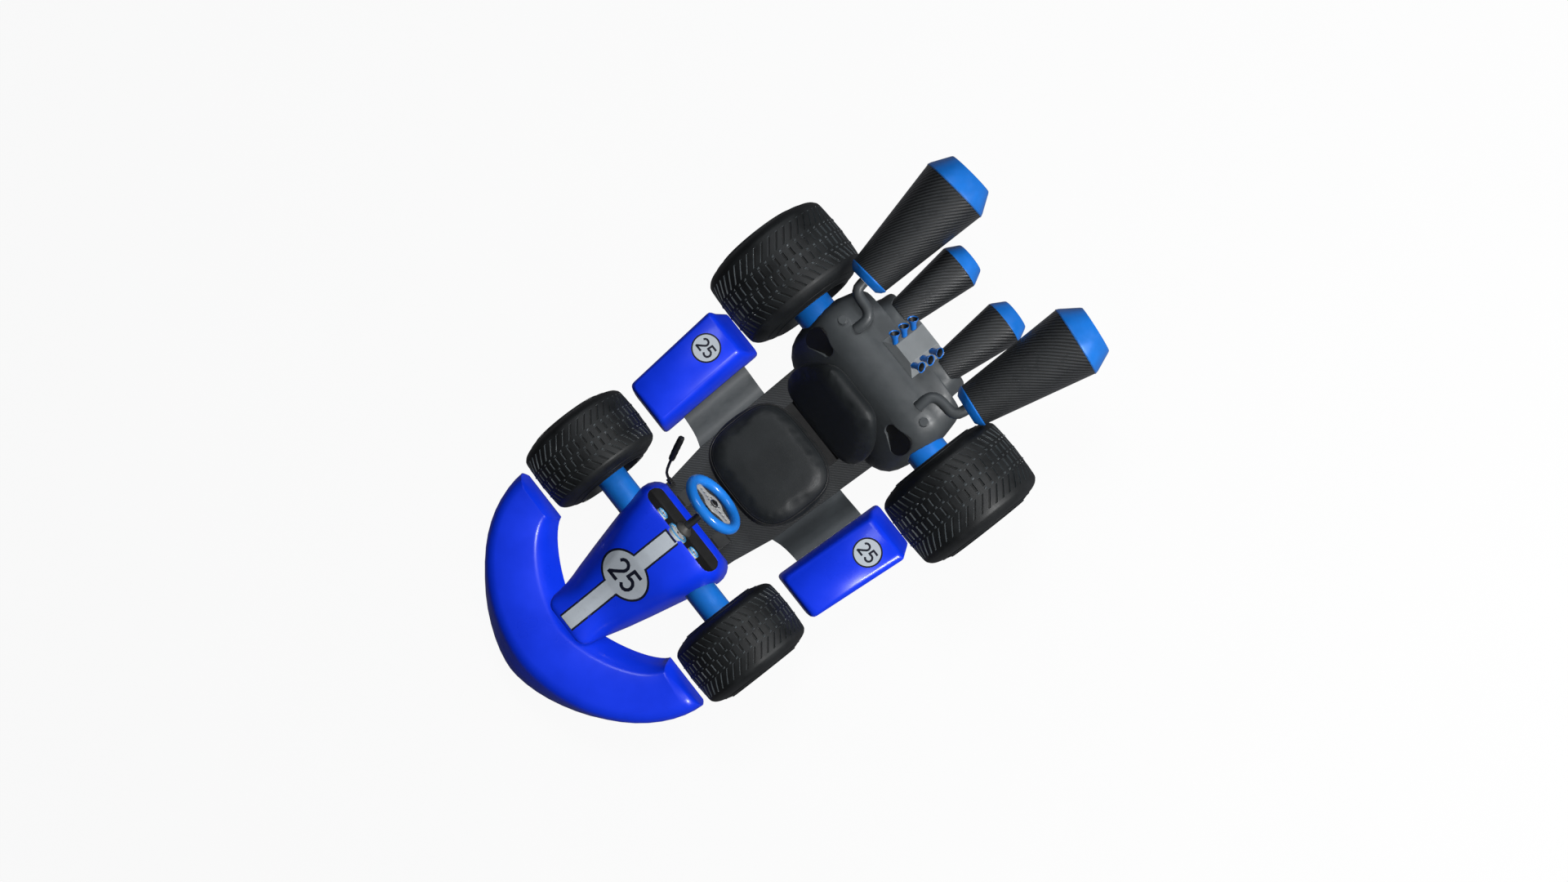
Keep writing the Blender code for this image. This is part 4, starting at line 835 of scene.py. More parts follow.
def tyre(section, centre, turn, pitches, scale):
    """A tyre with modelled grooves: slanted outer rows, straight middle rows, small nubs."""
    crown = section[-1][1]
    line = [(along, min(radius, crown)) for along, radius in curve_through(section, 4)]
    tread = tread_stations(scale)
    first, last = tread[0][0] - WALL_GAP, tread[-1][0] + WALL_GAP
    stations = [(-along, radius, None) for along, radius in line if -along < first]
    stations += [(along, line_radius(line, along), mark) for along, mark in tread]
    stations += [(along, radius, None) for along, radius in reversed(line) if along > last]

    def level(i, k):
        """-1 at the bottom of a groove, 1 on top of a nub, 0 elsewhere."""
        mark = stations[i][2] if i < len(stations) else None
        _, column, inside = PITCH_STEPS[k % len(PITCH_STEPS)]
        if mark and mark[0] == column and inside:
            return -1 if mark[1] == "groove" else 1
        return 0

    bm = bmesh.new()
    rings = []
    count = pitches * len(PITCH_STEPS)
    depths = {-1: -GROOVE_DEPTH * scale, 0: 0.0, 1: NUB_HEIGHT * scale}
    for i, (along, wall_radius, _) in enumerate(stations):
        ring = []
        lead = tread_lead(along, scale, crown)
        for pitch in range(pitches):
            for k, (share, _, _) in enumerate(PITCH_STEPS):
                radius = min(wall_radius + depths[level(i, k)], crown + CROWN_RISE)
                angle = math.tau / pitches * (pitch + share) + lead
                ring.append(bm.verts.new(polar(centre, turn, along, radius, angle)))
        rings.append(ring)
    # Three rings under the tyre close it at the bead.
    bead_along, bead_radius = section[0]
    for along in (bead_along * 0.9, 0.0, -bead_along * 0.9):
        rings.append([bm.verts.new(point) for point in
                      circle(centre, turn, along, bead_radius + 0.0002, count)])

    for i, ring in enumerate(rings):
        i2 = (i + 1) % len(rings)
        for k in range(count):
            j = (k + 1) % count
            face = bm.faces.new((ring[k], rings[i2][k], rings[i2][j], ring[j]))
            marks = (level(i, k), level(i, j), level(i2, k), level(i2, j))
            # Material 1 is the groove's floor, painted dark as painted shade; 2 the groove's walls
            # and the nubs, painted light as painted glint.
            if min(marks) == -1:
                face.material_index = 1 if max(marks) == -1 else 2
            elif max(marks) == 1:
                face.material_index = 2
    return bm


def build_wheel(tag, body, section, centre, sign, pitches, hub, reach):
    scale = section[2][0] / REAR_SECTION[2][0]
    bead_along, bead = section[0]
    axis = (sign, 0, 0)
    turn = basis(axis)

    piece = shape(f"tread_{tag}", tyre(section, centre, turn, pitches, scale), RUBBER, body,
                  28)
    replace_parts(piece, f"tyre_{tag}")
    piece.data.materials.append(RUBBER_GROOVE_SHADE)
    piece.data.materials.append(RUBBER_LIP_GLINT)

    # Two raised rings on each tyre wall.
    bm = bmesh.new()
    for end in (1, -1):
        for along, radius in ((section[3][0] + 0.0006, section[3][1]),
                              (section[2][0] + 0.0003, section[2][1] + 0.006)):
            tube(circle(centre, turn, along * end, radius, 72), 0.0016 * scale, 6, True, bm)
    shape(f"wall_rings_{tag}", bm, RUBBER, body, 70)

    # Bolts and a hub cap on the outboard face.
    bm = bmesh.new()
    bolt_ring = (hub + bead) * 0.46
    for k in range(6):
        bolt = polar(centre, turn, 0.0285, bolt_ring, math.tau * (k + 0.5) / 6)
        lathe(WHEEL_BOLT, bolt, axis, 6, bm)
    shape(f"wheel_bolts_{tag}", bm, STEEL, body, 30)
    cap = centre + Vector((sign * (reach + 0.0121), 0, 0))
    shape(f"hub_cap_{tag}", lathe([(along, hub * share) for along, share in HUB_CAP],
                                  cap, axis, 40), ACCENT, body)

    # A rolled lip on each edge of the wheel.
    bm = bmesh.new()
    for end in (1, -1):
        tube(circle(centre, turn, (bead_along + 0.0062) * end, bead - 0.0032, 72),
             0.0030, 8, True, bm)
    shape(f"wheel_lips_{tag}", bm, RIM, body, 60)


for sign, side, word in SIDES:
    for axle, body, section, half_track, y, pitches, hub, reach in AXLES:
        centre = spot(half_track * sign, y, section[-1][1])
        build_wheel(axle + side, body.format(word=word), section, centre, sign, pitches, hub,
                    reach)


# ======================================================================== seat
SEAT_Y = 0.005
SWELL = 0.0055  # the furthest a pad's surface may swell
PAD_VOXEL = 0.0085
CLOTH_FRAMES = 14

CUSHION_HALF = (0.2430, 0.2080)  # half width and half depth
CUSHION_EXPONENT = 2 / 3.2
# (height, share of the full size).
CUSHION_LEVELS = (
    (0.1015, 0.80), (0.1080, 0.910), (0.1280, 0.975), (0.1600, 0.992), (0.1950, 0.985),
    (0.2200, 0.952), (0.2360, 0.868), (0.2440, 0.710), (0.2475, 0.400))

BACK_FOOT, BACK_HEAD = spot(0, 0.2560, 0.2180), spot(0, 0.4330, 0.5020)
# (share of the way from foot to head, half width, half thickness).
BACK_ROWS = (
    (-0.020, 0.140, 0.012), (0.0, 0.178, 0.030), (0.06, 0.208, 0.0405),
    (0.16, 0.2270, 0.0445), (0.32, 0.2350, 0.0450), (0.50, 0.2290, 0.0450),
    (0.66, 0.2090, 0.0450), (0.80, 0.1820, 0.0450), (0.90, 0.1580, 0.0430),
    (0.97, 0.1340, 0.0350), (1.005, 0.1040, 0.0200), (1.015, 0.0640, 0.0080))

CORD_HALF = (0.2275, 0.1925)  # half sizes of the top piping's loop
THREAD_INSET = 0.008  # from the piping to the stitches
LOW_SEAM_Z = 0.128
STITCH, STITCH_GAP, THREAD_RADIUS = 0.0042, 0.0030, 0.00055


def cloth_swell(obj):
    """Blows the pad up as cloth and keeps each point within SWELL of where it began."""
    scene = bpy.context.scene
    before = [vertex.co.copy() for vertex in obj.data.vertices]
    cloth = obj.modifiers.new("cloth", "CLOTH")
    cloth.settings.quality = 4
    cloth.settings.use_pressure = True
    cloth.settings.uniform_pressure_force = 4.0
    cloth.settings.effector_weights.gravity = 0.0
    cloth.settings.tension_stiffness = 20
    cloth.settings.bending_stiffness = 2
    cloth.point_cache.frame_start, cloth.point_cache.frame_end = 1, CLOTH_FRAMES
    for number in range(1, CLOTH_FRAMES + 1):
        scene.frame_set(number)
    moved = obj.evaluated_get(bpy.context.evaluated_depsgraph_get())
    after = [vertex.co.copy() for vertex in moved.data.vertices]
    obj.modifiers.remove(cloth)
    for vertex, start, end in zip(obj.data.vertices, before, after):
        step = end - start
        if step.length > SWELL:
            step *= SWELL / step.length
        vertex.co = start + step
    scene.frame_set(1)


def puff(obj):
    """Swells a pad into a soft cushion."""
    apply_modifier(obj, "REMESH", mode="VOXEL", voxel_size=PAD_VOXEL)
    cloth_swell(obj)
    obj.data.update()
    apply_modifier(obj, "SMOOTH", factor=0.5, iterations=6)
    apply_modifier(obj, "SUBSURF", levels=1, render_levels=1)
    obj.data.shade_smooth()


def pad(name, rings, replaced):
    made = shape(name, loft(rings), VINYL)
    puff(made)
    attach(made, "chassis")
    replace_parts(made, replaced)
    return made


def cushion_rings():
    half_x, half_y = CUSHION_HALF
    return [[spot(x, SEAT_Y + y, z) for x, y in
             superellipse(half_x * size, half_y * size, CUSHION_EXPONENT, 64, offset=0.5)]
            for z, size in CUSHION_LEVELS]


def backrest_rings():
    lean = (BACK_HEAD - BACK_FOOT).normalized()
    away = Vector((0, lean.z, -lean.y))
    rings = []
    for share, half, thick in BACK_ROWS:
        centre = BACK_FOOT + (BACK_HEAD - BACK_FOOT) * share
        rings.append([centre + Vector((x, 0, 0)) + away * depth
                      for x, depth in superellipse(half, thick, 0.66, 48)])
    return rings


def loop_on_top(tree, inset=0.0):
    """A rounded loop dropped on the cushion from above, a hair over its surface."""
    loop = []
    half_x, half_y = (half - inset for half in CORD_HALF)
    for x, y in superellipse(half_x, half_y, 2 / 3.3, 160):
        start = spot(x, SEAT_Y + y, 0.3) + Vector((0, 0, 0.05))
        hit, normal, _, _ = tree.ray_cast(start, Vector((0, 0, -1)))
        if hit is not None:
            loop.append(hit + normal * 0.0003)
    return loop


def loop_round_side(tree):
    """A level loop pressed on the cushion's side from outside."""
    loop = []
    for x, y in superellipse(0.30, 0.26, CUSHION_EXPONENT, 160):
        start = spot(x, SEAT_Y + y, LOW_SEAM_Z)
        aim = (spot(0, SEAT_Y, LOW_SEAM_Z) - start).normalized()
        hit, normal, _, _ = tree.ray_cast(start, aim)
        if hit is not None:
            loop.append(hit + normal * 0.0002)
    return loop


def evened(loop, step):
    """Points round a closed loop at an even step."""
    points = loop + [loop[0]]
    total = sum((end - start).length for start, end in zip(points, points[1:]))
    count = max(4, round(total / step))
    out, gone, i = [], 0.0, 0
    for number in range(count):
        want = total * number / count
        while i < len(points) - 2 and gone + (points[i + 1] - points[i]).length < want:
            gone += (points[i + 1] - points[i]).length
            i += 1
        span = max((points[i + 1] - points[i]).length, 1e-9)
        out.append(points[i].lerp(points[i + 1], min(1.0, (want - gone) / span)))
    return out


def stitches(loop):
    """A row of short thread stitches round a loop."""
    bm = bmesh.new()
    points = evened(loop, STITCH + STITCH_GAP)
    for point, following in zip(points, points[1:] + points[:1]):
        ahead = (following - point).normalized() * STITCH
        middle = point + ahead * 0.5 + Vector((0, 0, THREAD_RADIUS * 0.6))
        tube([point, middle, point + ahead], THREAD_RADIUS, 5, bm=bm)
    return bm


cushion = pad("seat_pad", cushion_rings(), "seat_cushion")
pad("backrest_pad", backrest_rings(), "seat_back")
cushion_tree = surface_tree(cushion)
shape("seat_piping", tube(evened(loop_on_top(cushion_tree), 0.007), 0.0034, 8, True), PIPING,
      "chassis", 70)
shape("seat_stitches", stitches(loop_on_top(cushion_tree, THREAD_INSET)), THREAD, "chassis",
      60)
shape("seat_lower_piping", tube(evened(loop_round_side(cushion_tree), 0.008), 0.0026, 7, True),
      PIPING, "chassis", 70)


# =============================================================== printed films
FILM_THICKNESS = 0.00035
HOOD_STEP, POD_STEP = 0.010, 0.02  # grid steps of the films
BAND_LOW, BAND_HIGH = -1.028 + SHIFT, -0.4665 + SHIFT
HOOD_DISC_Y = -0.720 + SHIFT
POD_DISC_X, POD_DISC_Y = 0.5245, 0.0945 + SHIFT


def arc(centre_x, centre_y, radius_x, radius_y, degrees):
    return [(centre_x + radius_x * math.cos(turn), centre_y + radius_y * math.sin(turn))
            for turn in map(math.radians, degrees)]


# The centre lines of block numerals in a cell 1 wide and 1.6 tall.
FIGURES = {
    "2": [arc(0.5, 1.14, 0.44, 0.42, (*range(170, -11, -30), -35))
          + [(0.62, 0.62), (0.34, 0.32), (0.08, 0.05)],
          [(0.0, 0.06), (1.0, 0.06)]],
    "5": [[(0.94, 1.54), (0.16, 1.54), (0.10, 0.80)],
          arc(0.48, 0.50, 0.46, 0.46, range(125, -146, -30))],
}


def flat_grid(outline, step):
    """A flat filled (x, y) outline cut into small faces."""
    bm = bmesh.new()
    bm.faces.new([bm.verts.new((x, y, 0)) for x, y in outline])
    for axis in (0, 1):
        low = min(point[axis] for point in outline)
        high = max(point[axis] for point in outline)
        cut = low + step
        while cut < high - step * 0.3:
            point, normal = [0.0, 0.0, 0.0], [0.0, 0.0, 0.0]
            point[axis], normal[axis] = cut, 1.0
            bmesh.ops.bisect_plane(bm, geom=bm.verts[:] + bm.edges[:] + bm.faces[:],
                                   plane_co=point, plane_no=normal, dist=1e-6)
            cut += step
    return bm


def film(name, outlines, tree, height, look, step):
    """A thin film laid on a surface from above, with its own thickness."""
    bm = bmesh.new()
    for outline in outlines:
        mesh = mesh_from("part", flat_grid(outline, step))
        bm.from_mesh(mesh)
        bpy.data.meshes.remove(mesh)
    lost = []
    for vert in bm.verts:
        above = Vector((vert.co.x, vert.co.y, 1.0))
        hit, _, _, _ = tree.ray_cast(above, Vector((0, 0, -1)))
        if hit is None:
            lost.append(vert)
        else:
            vert.co = hit + Vector((0, 0, height))
    bmesh.ops.delete(bm, geom=lost, context="VERTS")
    bmesh.ops.triangulate(bm, faces=[face for face in bm.faces if len(face.verts) > 4])
    bmesh.ops.recalc_face_normals(bm, faces=bm.faces)
    if sum(face.normal.z for face in bm.faces) < 0:
        bmesh.ops.reverse_faces(bm, faces=bm.faces)
    grown = bmesh.ops.extrude_face_region(bm, geom=bm.faces[:])
    lifted = [item for item in grown["geom"] if isinstance(item, bmesh.types.BMVert)]
    bmesh.ops.translate(bm, verts=lifted, vec=(0, 0, FILM_THICKNESS))
    shape(name, bm, look, "chassis", 40)


def oval(centre_x, centre_y, radius_x, radius_y):
    turns = [math.tau * k / 64 for k in range(64)]
    return [(centre_x + radius_x * math.cos(turn), centre_y + radius_y * math.sin(turn))
            for turn in turns]


def strip(half, low, high):
    return [(-half, low), (half, low), (half, high), (-half, high)]


def stroke(points, width):
    """The outline of a thick open line with mitred corners."""
    points = [Vector(point) for point in points]
    left, right = [], []
    for i, point in enumerate(points):
        before = (points[i] - points[i - 1] if i else points[1] - points[0]).normalized()
        after = before
        if i < len(points) - 1:
            after = (points[i + 1] - points[i]).normalized()
        ahead = (before + after).normalized()
        side = Vector((-ahead.y, ahead.x))
        reach = width / 2 / max(0.5, side.dot(Vector((-before.y, before.x))))
        left.append(point + side * reach)
        right.append(point - side * reach)
    return [tuple(point) for point in left + right[::-1]]


def numerals(centre_x, centre_y, tall, width):
    """The number 25, upright along +Y, centred on a point."""
    cell = tall / 1.6
    gap = cell * 0.26
    outlines = []
    for index, which in enumerate("25"):
        start_x = centre_x + (index - 0.5) * (cell + gap) - cell / 2
        for line in FIGURES[which]:
            points = [(start_x + x * cell, centre_y - tall / 2 + y * cell) for x, y in line]
            outlines.append(stroke(points, width))
    return outlines


# Name, outlines, height over the hood, look.
HOOD_FILMS = (
    ("hood_band_edge", [strip(0.0405, BAND_LOW, BAND_HIGH)], 0.0002, FILM_DARK),
    ("hood_disc_edge", [oval(0, HOOD_DISC_Y, 0.1165, 0.0860)], 0.0004, FILM_DARK),
    ("hood_band", [strip(0.0325, BAND_LOW + 0.002, BAND_HIGH - 0.001)], 0.0009, FILM_PALE),
    ("hood_disc", [oval(0, HOOD_DISC_Y, 0.1070, 0.0775)], 0.0011, FILM_PALE),
    ("hood_number", numerals(0, HOOD_DISC_Y, tall=0.085, width=0.0135), 0.0017, FILM_DARK))
hood_tree = surface_tree(NODES["nose_cone"])
for name, outlines, height, look in HOOD_FILMS:
    film(name, outlines, hood_tree, height, look, HOOD_STEP)

for sign, side, _ in SIDES:
    pod_tree = surface_tree(NODES[f"side_pod_{side}"])
    x, y = POD_DISC_X * sign, POD_DISC_Y
    for name, outlines, height, look in (
            ("pod_disc_edge", [oval(x, y, 0.0610, 0.0610)], 0.0002, FILM_DARK),
            ("pod_disc", [oval(x, y, 0.0545, 0.0545)], 0.0007, FILM_PALE),
            ("pod_number", numerals(x, y, tall=0.052, width=0.0085), 0.0012, FILM_DARK)):
        film(f"{name}_{side}", outlines, pod_tree, height, look, POD_STEP)


# ==================================================================== steering
TILT = math.radians(24.5)
HUB = spot(0.0, RIM_Y, 0.410)
COLUMN = Vector((0, math.cos(TILT), math.sin(TILT)))  # back and up, toward the driver
COLUMN_UP = Vector((0, -math.sin(TILT), math.cos(TILT)))
RING_RADIUS, GRIP_RADIUS = 0.1205, 0.0217
FINGER_DEPTH, FINGER_GROOVES = 0.0007, 36

# A quarter of the spoke plate's outline: (x, up the wheel).
SPOKE_QUARTER = [
    (0.0985, 0.0050), (0.0975, 0.0130), (0.0950, 0.0190), (0.0905, 0.0228), (0.074, 0.0240),
    (0.056, 0.0262), (0.042, 0.0320), (0.030, 0.0425), (0.022, 0.0490), (0.012, 0.0512)]
SPOKE_HALF_THICKNESS = 0.0023
SPOKE_HOLES = ((0.078, 0.0060), (0.060, 0.0068), (0.041, 0.0076))  # (x, radius)

# (along, radius) profiles.
HUB_BOLT = (
    (0.0, 0), (0.0, 0.0042), (0.0022, 0.0042), (0.0030, 0.0032), (0.0030, 0.0016),
    (0.0018, 0.0014), (0.0018, 0))
BUTTON_RING = (
    (0.0075, 0.0125), (0.0100, 0.0138), (0.0105, 0.0165), (0.0085, 0.0186), (0.0076, 0.0186))


def on_wheel(along, x=0.0, up=0.0):
    return HUB + COLUMN * along + COLUMN_UP * up + Vector((x, 0, 0))


def grip():
    """The wheel's ring, with shallow finger grooves on the side away from the driver."""
    around, segments = 20, 112
    rings = []
    for i in range(segments):
        turn = math.tau * i / segments
        ripple = FINGER_DEPTH * (0.5 + 0.5 * math.cos(turn * FINGER_GROOVES))
        ring = []
        for k in range(around):
            bend = math.tau * k / around
            radius = GRIP_RADIUS - ripple * max(0.0, -math.sin(bend))
            reach = RING_RADIUS + radius * math.cos(bend)
            ring.append(on_wheel(radius * math.sin(bend), math.cos(turn) * reach,
                                 math.sin(turn) * reach))
        rings.append(ring)
    return loft(rings, closed=True)


def spoke_plate():
    """The spoke plate with three holes cut through each side."""
    outline = SPOKE_QUARTER + [(-x, up) for x, up in reversed(SPOKE_QUARTER)]
    outline += [(-x, -up) for x, up in SPOKE_QUARTER]
    outline += [(x, -up) for x, up in reversed(SPOKE_QUARTER)]
    bm = bmesh.new()
    low, high = ([bm.verts.new(on_wheel(along, x, up)) for x, up in outline]
                 for along in (-SPOKE_HALF_THICKNESS, SPOKE_HALF_THICKNESS))
    bm.faces.new(low)
    bm.faces.new(high)
    for i in range(len(outline)):
        j = (i + 1) % len(outline)
        bm.faces.new((low[i], low[j], high[j], high[i]))
    plate = shape("spoke_plate", bm, SPOKE)
    holes = bmesh.new()
    for sign in (1, -1):
        for x, radius in SPOKE_HOLES:
            lathe([(-0.01, 0), (-0.01, radius), (0.01, radius), (0.01, 0)],
                  on_wheel(0, x * sign), COLUMN, 20, holes)
    cutter = shape("cut_holes", holes, SPOKE)
    apply_modifier(plate, "BOOLEAN", operation="DIFFERENCE", object=cutter, solver="EXACT")
    bpy.data.objects.remove(cutter, do_unlink=True)
    apply_modifier(plate, "BEVEL", width=0.0006, segments=2, limit_method="ANGLE")
    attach(plate, "steering")
    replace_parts(plate, "steering_spokes")


def hub_bolts():
    bm = bmesh.new()
    circle_radius = 0.0285
    for k in range(6):
        turn = math.tau * (k + 0.5) / 6
        lathe(HUB_BOLT, on_wheel(SPOKE_HALF_THICKNESS, circle_radius * math.cos(turn),
                                 circle_radius * math.sin(turn)), COLUMN, 14, bm)
    shape("hub_bolts", bm, STEEL, "steering", 30)


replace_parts(shape("steering_grip", grip(), WHEEL_BLUE, "steering", 80),
            "steering_rim")
spoke_plate()
hub_bolts()
shape("button_ring", lathe(BUTTON_RING, HUB, COLUMN, 40), STEEL, "steering", 40)


# ====================================================================== gauges
GAUGE_TILT = math.radians(14)
FACE = Vector((0, math.cos(GAUGE_TILT), math.sin(GAUGE_TILT)))  # back and up
FACE_UP = Vector((0, -math.sin(GAUGE_TILT), math.cos(GAUGE_TILT)))
FACE_RIGHT = Vector((-1, 0, 0))
# (along, share of the gauge's radius).
BEZEL = ((0.0002, 0.835), (0.0034, 0.86), (0.0046, 0.915), (0.0038, 0.965),
         (-0.0005, 0.995), (-0.0008, 0.93))
NEEDLE_HUB = ((0.0002, 0), (0.0002, 0.10), (0.0030, 0.09), (0.0036, 0.05), (0.0036, 0))
# Name, x, z, radius, divisions, divisions between long marks.
GAUGES = (("c", 0.0, 0.372, 0.048, 28, 4), ("l", 0.0985, 0.364, 0.026, 14, 2),
          ("r", -0.0985, 0.364, 0.026, 14, 2))


def build_gauge(name, x, z, radius, divisions, long_every):
    centre = spot(x, -0.4520 - (z - 0.370) * math.tan(GAUGE_TILT), z)

    def spun(profile, steps):
        return lathe([(along, radius * share) for along, share in profile], centre, FACE, steps)

    def bar(bm, turn, start, end, start_half, end_half, low, high):
        """A flat bar along a radius of the dial, between two heights over its face."""
        c, s = math.cos(turn), math.sin(turn)
        corners = [(reach * c - half * s, reach * s + half * c)
                   for reach, half in ((start, start_half), (end, end_half),
                                       (end, -end_half), (start, -start_half))]
        loft([[centre + FACE_RIGHT * right + FACE_UP * up + FACE * lift
               for right, up in corners] for lift in (low, high)], bm)

    shape(f"bezel_{name}", spun(BEZEL, 56), DIAL_RING, "chassis", 50)
    marks = bmesh.new()
    for k in range(divisions + 1):
        turn = math.radians(225 - 270 * k / divisions)
        inner = radius * (0.62 if k % long_every == 0 else 0.71)
        half = radius * (0.018 if k % 4 == 0 else 0.010)
        bar(marks, turn, inner, radius * 0.79, half, half, low=0.0001, high=0.0007)
    shape(f"dial_marks_{name}", marks, FILM_DARK, "chassis", 20)
    needle = bmesh.new()
    half = radius * 0.035
    bar(needle, math.radians(150), -radius * 0.16, radius * 0.66, half, half * 0.3,
        low=0.0014, high=0.0022)
    shape(f"needle_{name}", needle, NEEDLE, "chassis", 20)
    shape(f"needle_hub_{name}", spun(NEEDLE_HUB, 24), BLACK, "chassis")


for gauge in GAUGES:
    build_gauge(*gauge)


# ====================================================== trumpets and cone seams
# (along, radius) profiles from the trumpet's base.
TRUMPET_THROAT = (
    (0.0042, 0), (0.0042, 0.0099), (0.0200, 0.0105), (0.0352, 0.0181), (0.0356, 0.0176),
    (0.0348, 0.0170), (0.0200, 0.0098), (0.0065, 0.0090), (0.0060, 0))
TRUMPET_LIP = (
    (0.0352, 0.0212), (0.0372, 0.0226), (0.0386, 0.0218), (0.0380, 0.0200), (0.0362, 0.0196))
# (distance back from the cone's end, radius).
CONE_SEAM = ((0.0035, 0.1462), (0.0030, 0.1480), (0.0005, 0.1484), (0.0002, 0.1464))

for sign, side, _ in SIDES:
    for index in range(3):
        base = spot(0.0615 * sign, 0.6880 + 0.0460 * index, 0.4500)
        axis = Vector((0.66 * sign, 0.39, 0.64)).normalized()
        tag = f"{side}{index + 1}"
        # The black throat lines the inside of each bell as painted shade.
        shape(f"trumpet_throat_{tag}", lathe(TRUMPET_THROAT, base, axis, 24), BLACK,
              "chassis", 30)
        shape(f"trumpet_lip_{tag}", lathe(TRUMPET_LIP, base, axis, 40), ACCENT, "chassis",
              60)
    base = mirrored(EXHAUST_BASE, sign)
    line = mirrored(EXHAUST_END, sign) - base
    profile = [(line.length - inset, radius) for inset, radius in CONE_SEAM]
    shape(f"cone_seam_{side}", lathe(profile, base, line.normalized(), 64), ACCENT,
          "chassis", 60)


# ======================================================== gear grip and pedals
GEAR_LINE = (
    (-0.2549, -0.2900, 0.2834), (-0.2560, -0.2872, 0.2874), (-0.2700, -0.2513, 0.3387),
    (-0.2850, -0.2130, 0.3790), (-0.2868, -0.2090, 0.3832))
GEAR_RADII = (0.0098, 0.0126, 0.0136, 0.0129, 0.0089)
GRIP_RING = 0.0007  # every third ring stands out this far

PEDAL_RISE = math.radians(28)
PEDAL_BARS, FIRST_BAR, BAR_PITCH = 6, 0.062, 0.0165
# (height over the pedal's middle plane, half width along the pedal).
BAR_ROWS = ((0.0066, 0.0032), (0.0088, 0.0028), (0.0096, 0.0018))


def gear_grip():
    """A soft grip with raised rings over the lever's top."""
    path = curve_through([spot(*point) for point in GEAR_LINE], 6)
    radii = [point[0] + (GRIP_RING if i % 3 == 1 else 0.0)
             for i, point in enumerate(curve_through([(size, 0) for size in GEAR_RADII], 6))]
    shape("gear_grip", tube(path, radii, 20), BLACK, "gear", 50)


def pad_bars(sign, body):
    """Raised bars across a pedal's pad."""
    pivot = spot(0.110 * sign, -0.312, 0.068)
    along = Vector((0, -math.cos(PEDAL_RISE), math.sin(PEDAL_RISE)))
    normal = Vector((0, math.sin(PEDAL_RISE), math.cos(PEDAL_RISE)))
    bm = bmesh.new()
    for k in range(PEDAL_BARS):
        middle = FIRST_BAR + BAR_PITCH * k
        rows = []
        for height, half in BAR_ROWS:
            outline = ((-0.026, -half), (0.026, -half), (0.027, 0), (0.026, half),
                       (-0.026, half), (-0.027, 0))
            rows.append([pivot + Vector((x, 0, 0)) + along * (middle + offset)
                         + normal * height for x, offset in outline])
        loft(rows, bm)
    shape(f"{body}_pad_bars", bm, RUBBER, body, 25)


gear_grip()
pad_bars(1, "brake")
pad_bars(-1, "throttle")


# ======================================================================= stage
CAMERA_TURN, CAMERA_RISE = math.radians(51.84), math.radians(85.25)
CAMERA_PLACE = spot(0.5355, -0.339, 8.98)
LAMP_AIM = Vector((0, 0, 0.2))


def add_camera():
    data = bpy.data.cameras.new("camera")
    data.lens, data.sensor_width = 50.0, 36.0
    data.clip_start, data.clip_end = 0.1, 100.0
    camera = bpy.data.objects.new("camera", data)
    bpy.context.scene.collection.objects.link(camera)
    cos_turn, sin_turn = math.cos(CAMERA_TURN), math.sin(CAMERA_TURN)
    cos_rise, sin_rise = math.cos(CAMERA_RISE), math.sin(CAMERA_RISE)
    right = Vector((cos_turn, sin_turn, 0))
    up = Vector((-sin_turn * sin_rise, cos_turn * sin_rise, cos_rise))
    back = Vector((sin_turn * cos_rise, -cos_turn * cos_rise, sin_rise))
    turn = Matrix((right, up, back)).transposed().to_4x4()
    camera.matrix_world = Matrix.Translation(CAMERA_PLACE) @ turn
    bpy.context.scene.camera = camera


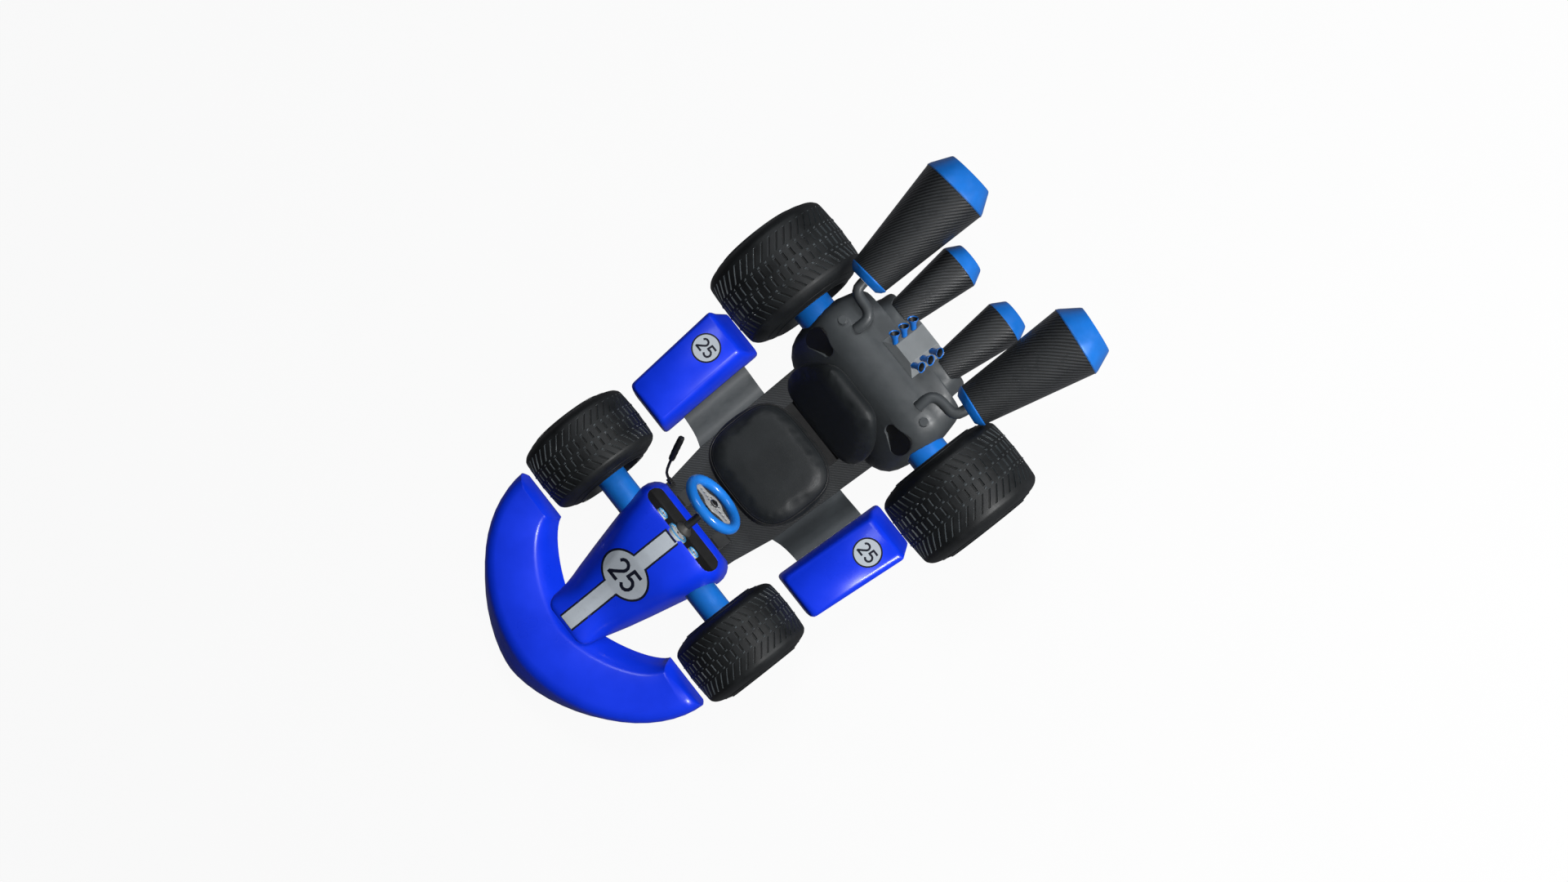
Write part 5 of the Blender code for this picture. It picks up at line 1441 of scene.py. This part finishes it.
def floor_look():
    """Near white to the camera, dark grey to all other rays."""
    look = new_look("look_studio_floor")
    seen = look.node("ShaderNodeLightPath").outputs["Is Camera Ray"]
    tone = look.mix(look.ramp(look.noise(scale=1.5)), (0.80, 0.80, 0.80), (0.83, 0.83, 0.83))
    matte = look.node("ShaderNodeBsdfDiffuse",
                      {"Color": look.mix(seen, (0.16, 0.16, 0.17), tone)})
    glow = look.node("ShaderNodeEmission", {"Color": (0.955, 0.955, 0.955),
                                            "Strength": look.times(seen, 0.945)})
    black = look.node("ShaderNodeEmission", {"Color": (0.0, 0.0, 0.0), "Strength": 0.0})
    # The camera sees only this share of the matte surface, so shadows stay faint.
    share = look.blend(seen, 1.0, 0.09)
    dim = look.node("ShaderNodeMixShader",
                    {"Fac": share, 1: black.outputs[0], 2: matte.outputs[0]})
    return look.finish(look.node("ShaderNodeAddShader", {0: dim.outputs[0],
                                                         1: glow.outputs[0]}))


def add_floor():
    bm = bmesh.new()
    bmesh.ops.create_grid(bm, x_segments=2, y_segments=2, size=30.0)
    studio = bpy.data.objects.new("studio_floor", mesh_from("studio_floor", bm))
    studio.location.z = cad_low.z - 0.0006
    bpy.context.scene.collection.objects.link(studio)
    studio.data.materials.append(floor_look())


def add_lamp(name, place, size, energy, colour=(1, 1, 1), shadow=True):
    data = bpy.data.lights.new(name, "AREA")
    data.shape, data.size, data.energy, data.color = "DISK", size, energy, colour
    data.use_shadow = shadow
    made = bpy.data.objects.new(name, data)
    made.location = place
    made.rotation_mode = "QUATERNION"
    made.rotation_quaternion = (LAMP_AIM - Vector(place)).to_track_quat("-Z", "Y")
    bpy.context.scene.collection.objects.link(made)


def add_world():
    """Plain pale grey to the camera; a soft glow from one side lights the kart."""
    world = bpy.data.worlds.new("studio")
    bpy.context.scene.world = world
    look = Shader(world, "ShaderNodeOutputWorld")
    direction = look.node("ShaderNodeTexCoord").outputs["Generated"]
    bright_side = Vector((0.50, 0.42, 0.76)).normalized()
    glow = look.ramp(look.vector("DOT_PRODUCT", direction, bright_side),
                     span=(-0.25, 1.0), to=(0.006, 0.17))
    sky = look.node("ShaderNodeBackground", {"Color": (0.96, 0.98, 1.0), "Strength": glow})
    plain = look.node("ShaderNodeBackground", {"Color": (0.95, 0.95, 0.95)})
    seen = look.node("ShaderNodeLightPath").outputs["Is Camera Ray"]
    look.finish(look.node("ShaderNodeMixShader",
                          {0: seen, 1: sky.outputs[0], 2: plain.outputs[0]}))


add_camera()
add_floor()
add_lamp("key", (5.6, 4.2, 7.6), size=2.0, energy=900.0, shadow=False)
add_lamp("fill", (-4.5, 4.0, 9.0), size=4.0, energy=230.0, colour=(0.93, 0.97, 1.0))
add_world()
bpy.context.scene.view_settings.view_transform = "Standard"
bpy.context.scene.view_settings.look = "None"
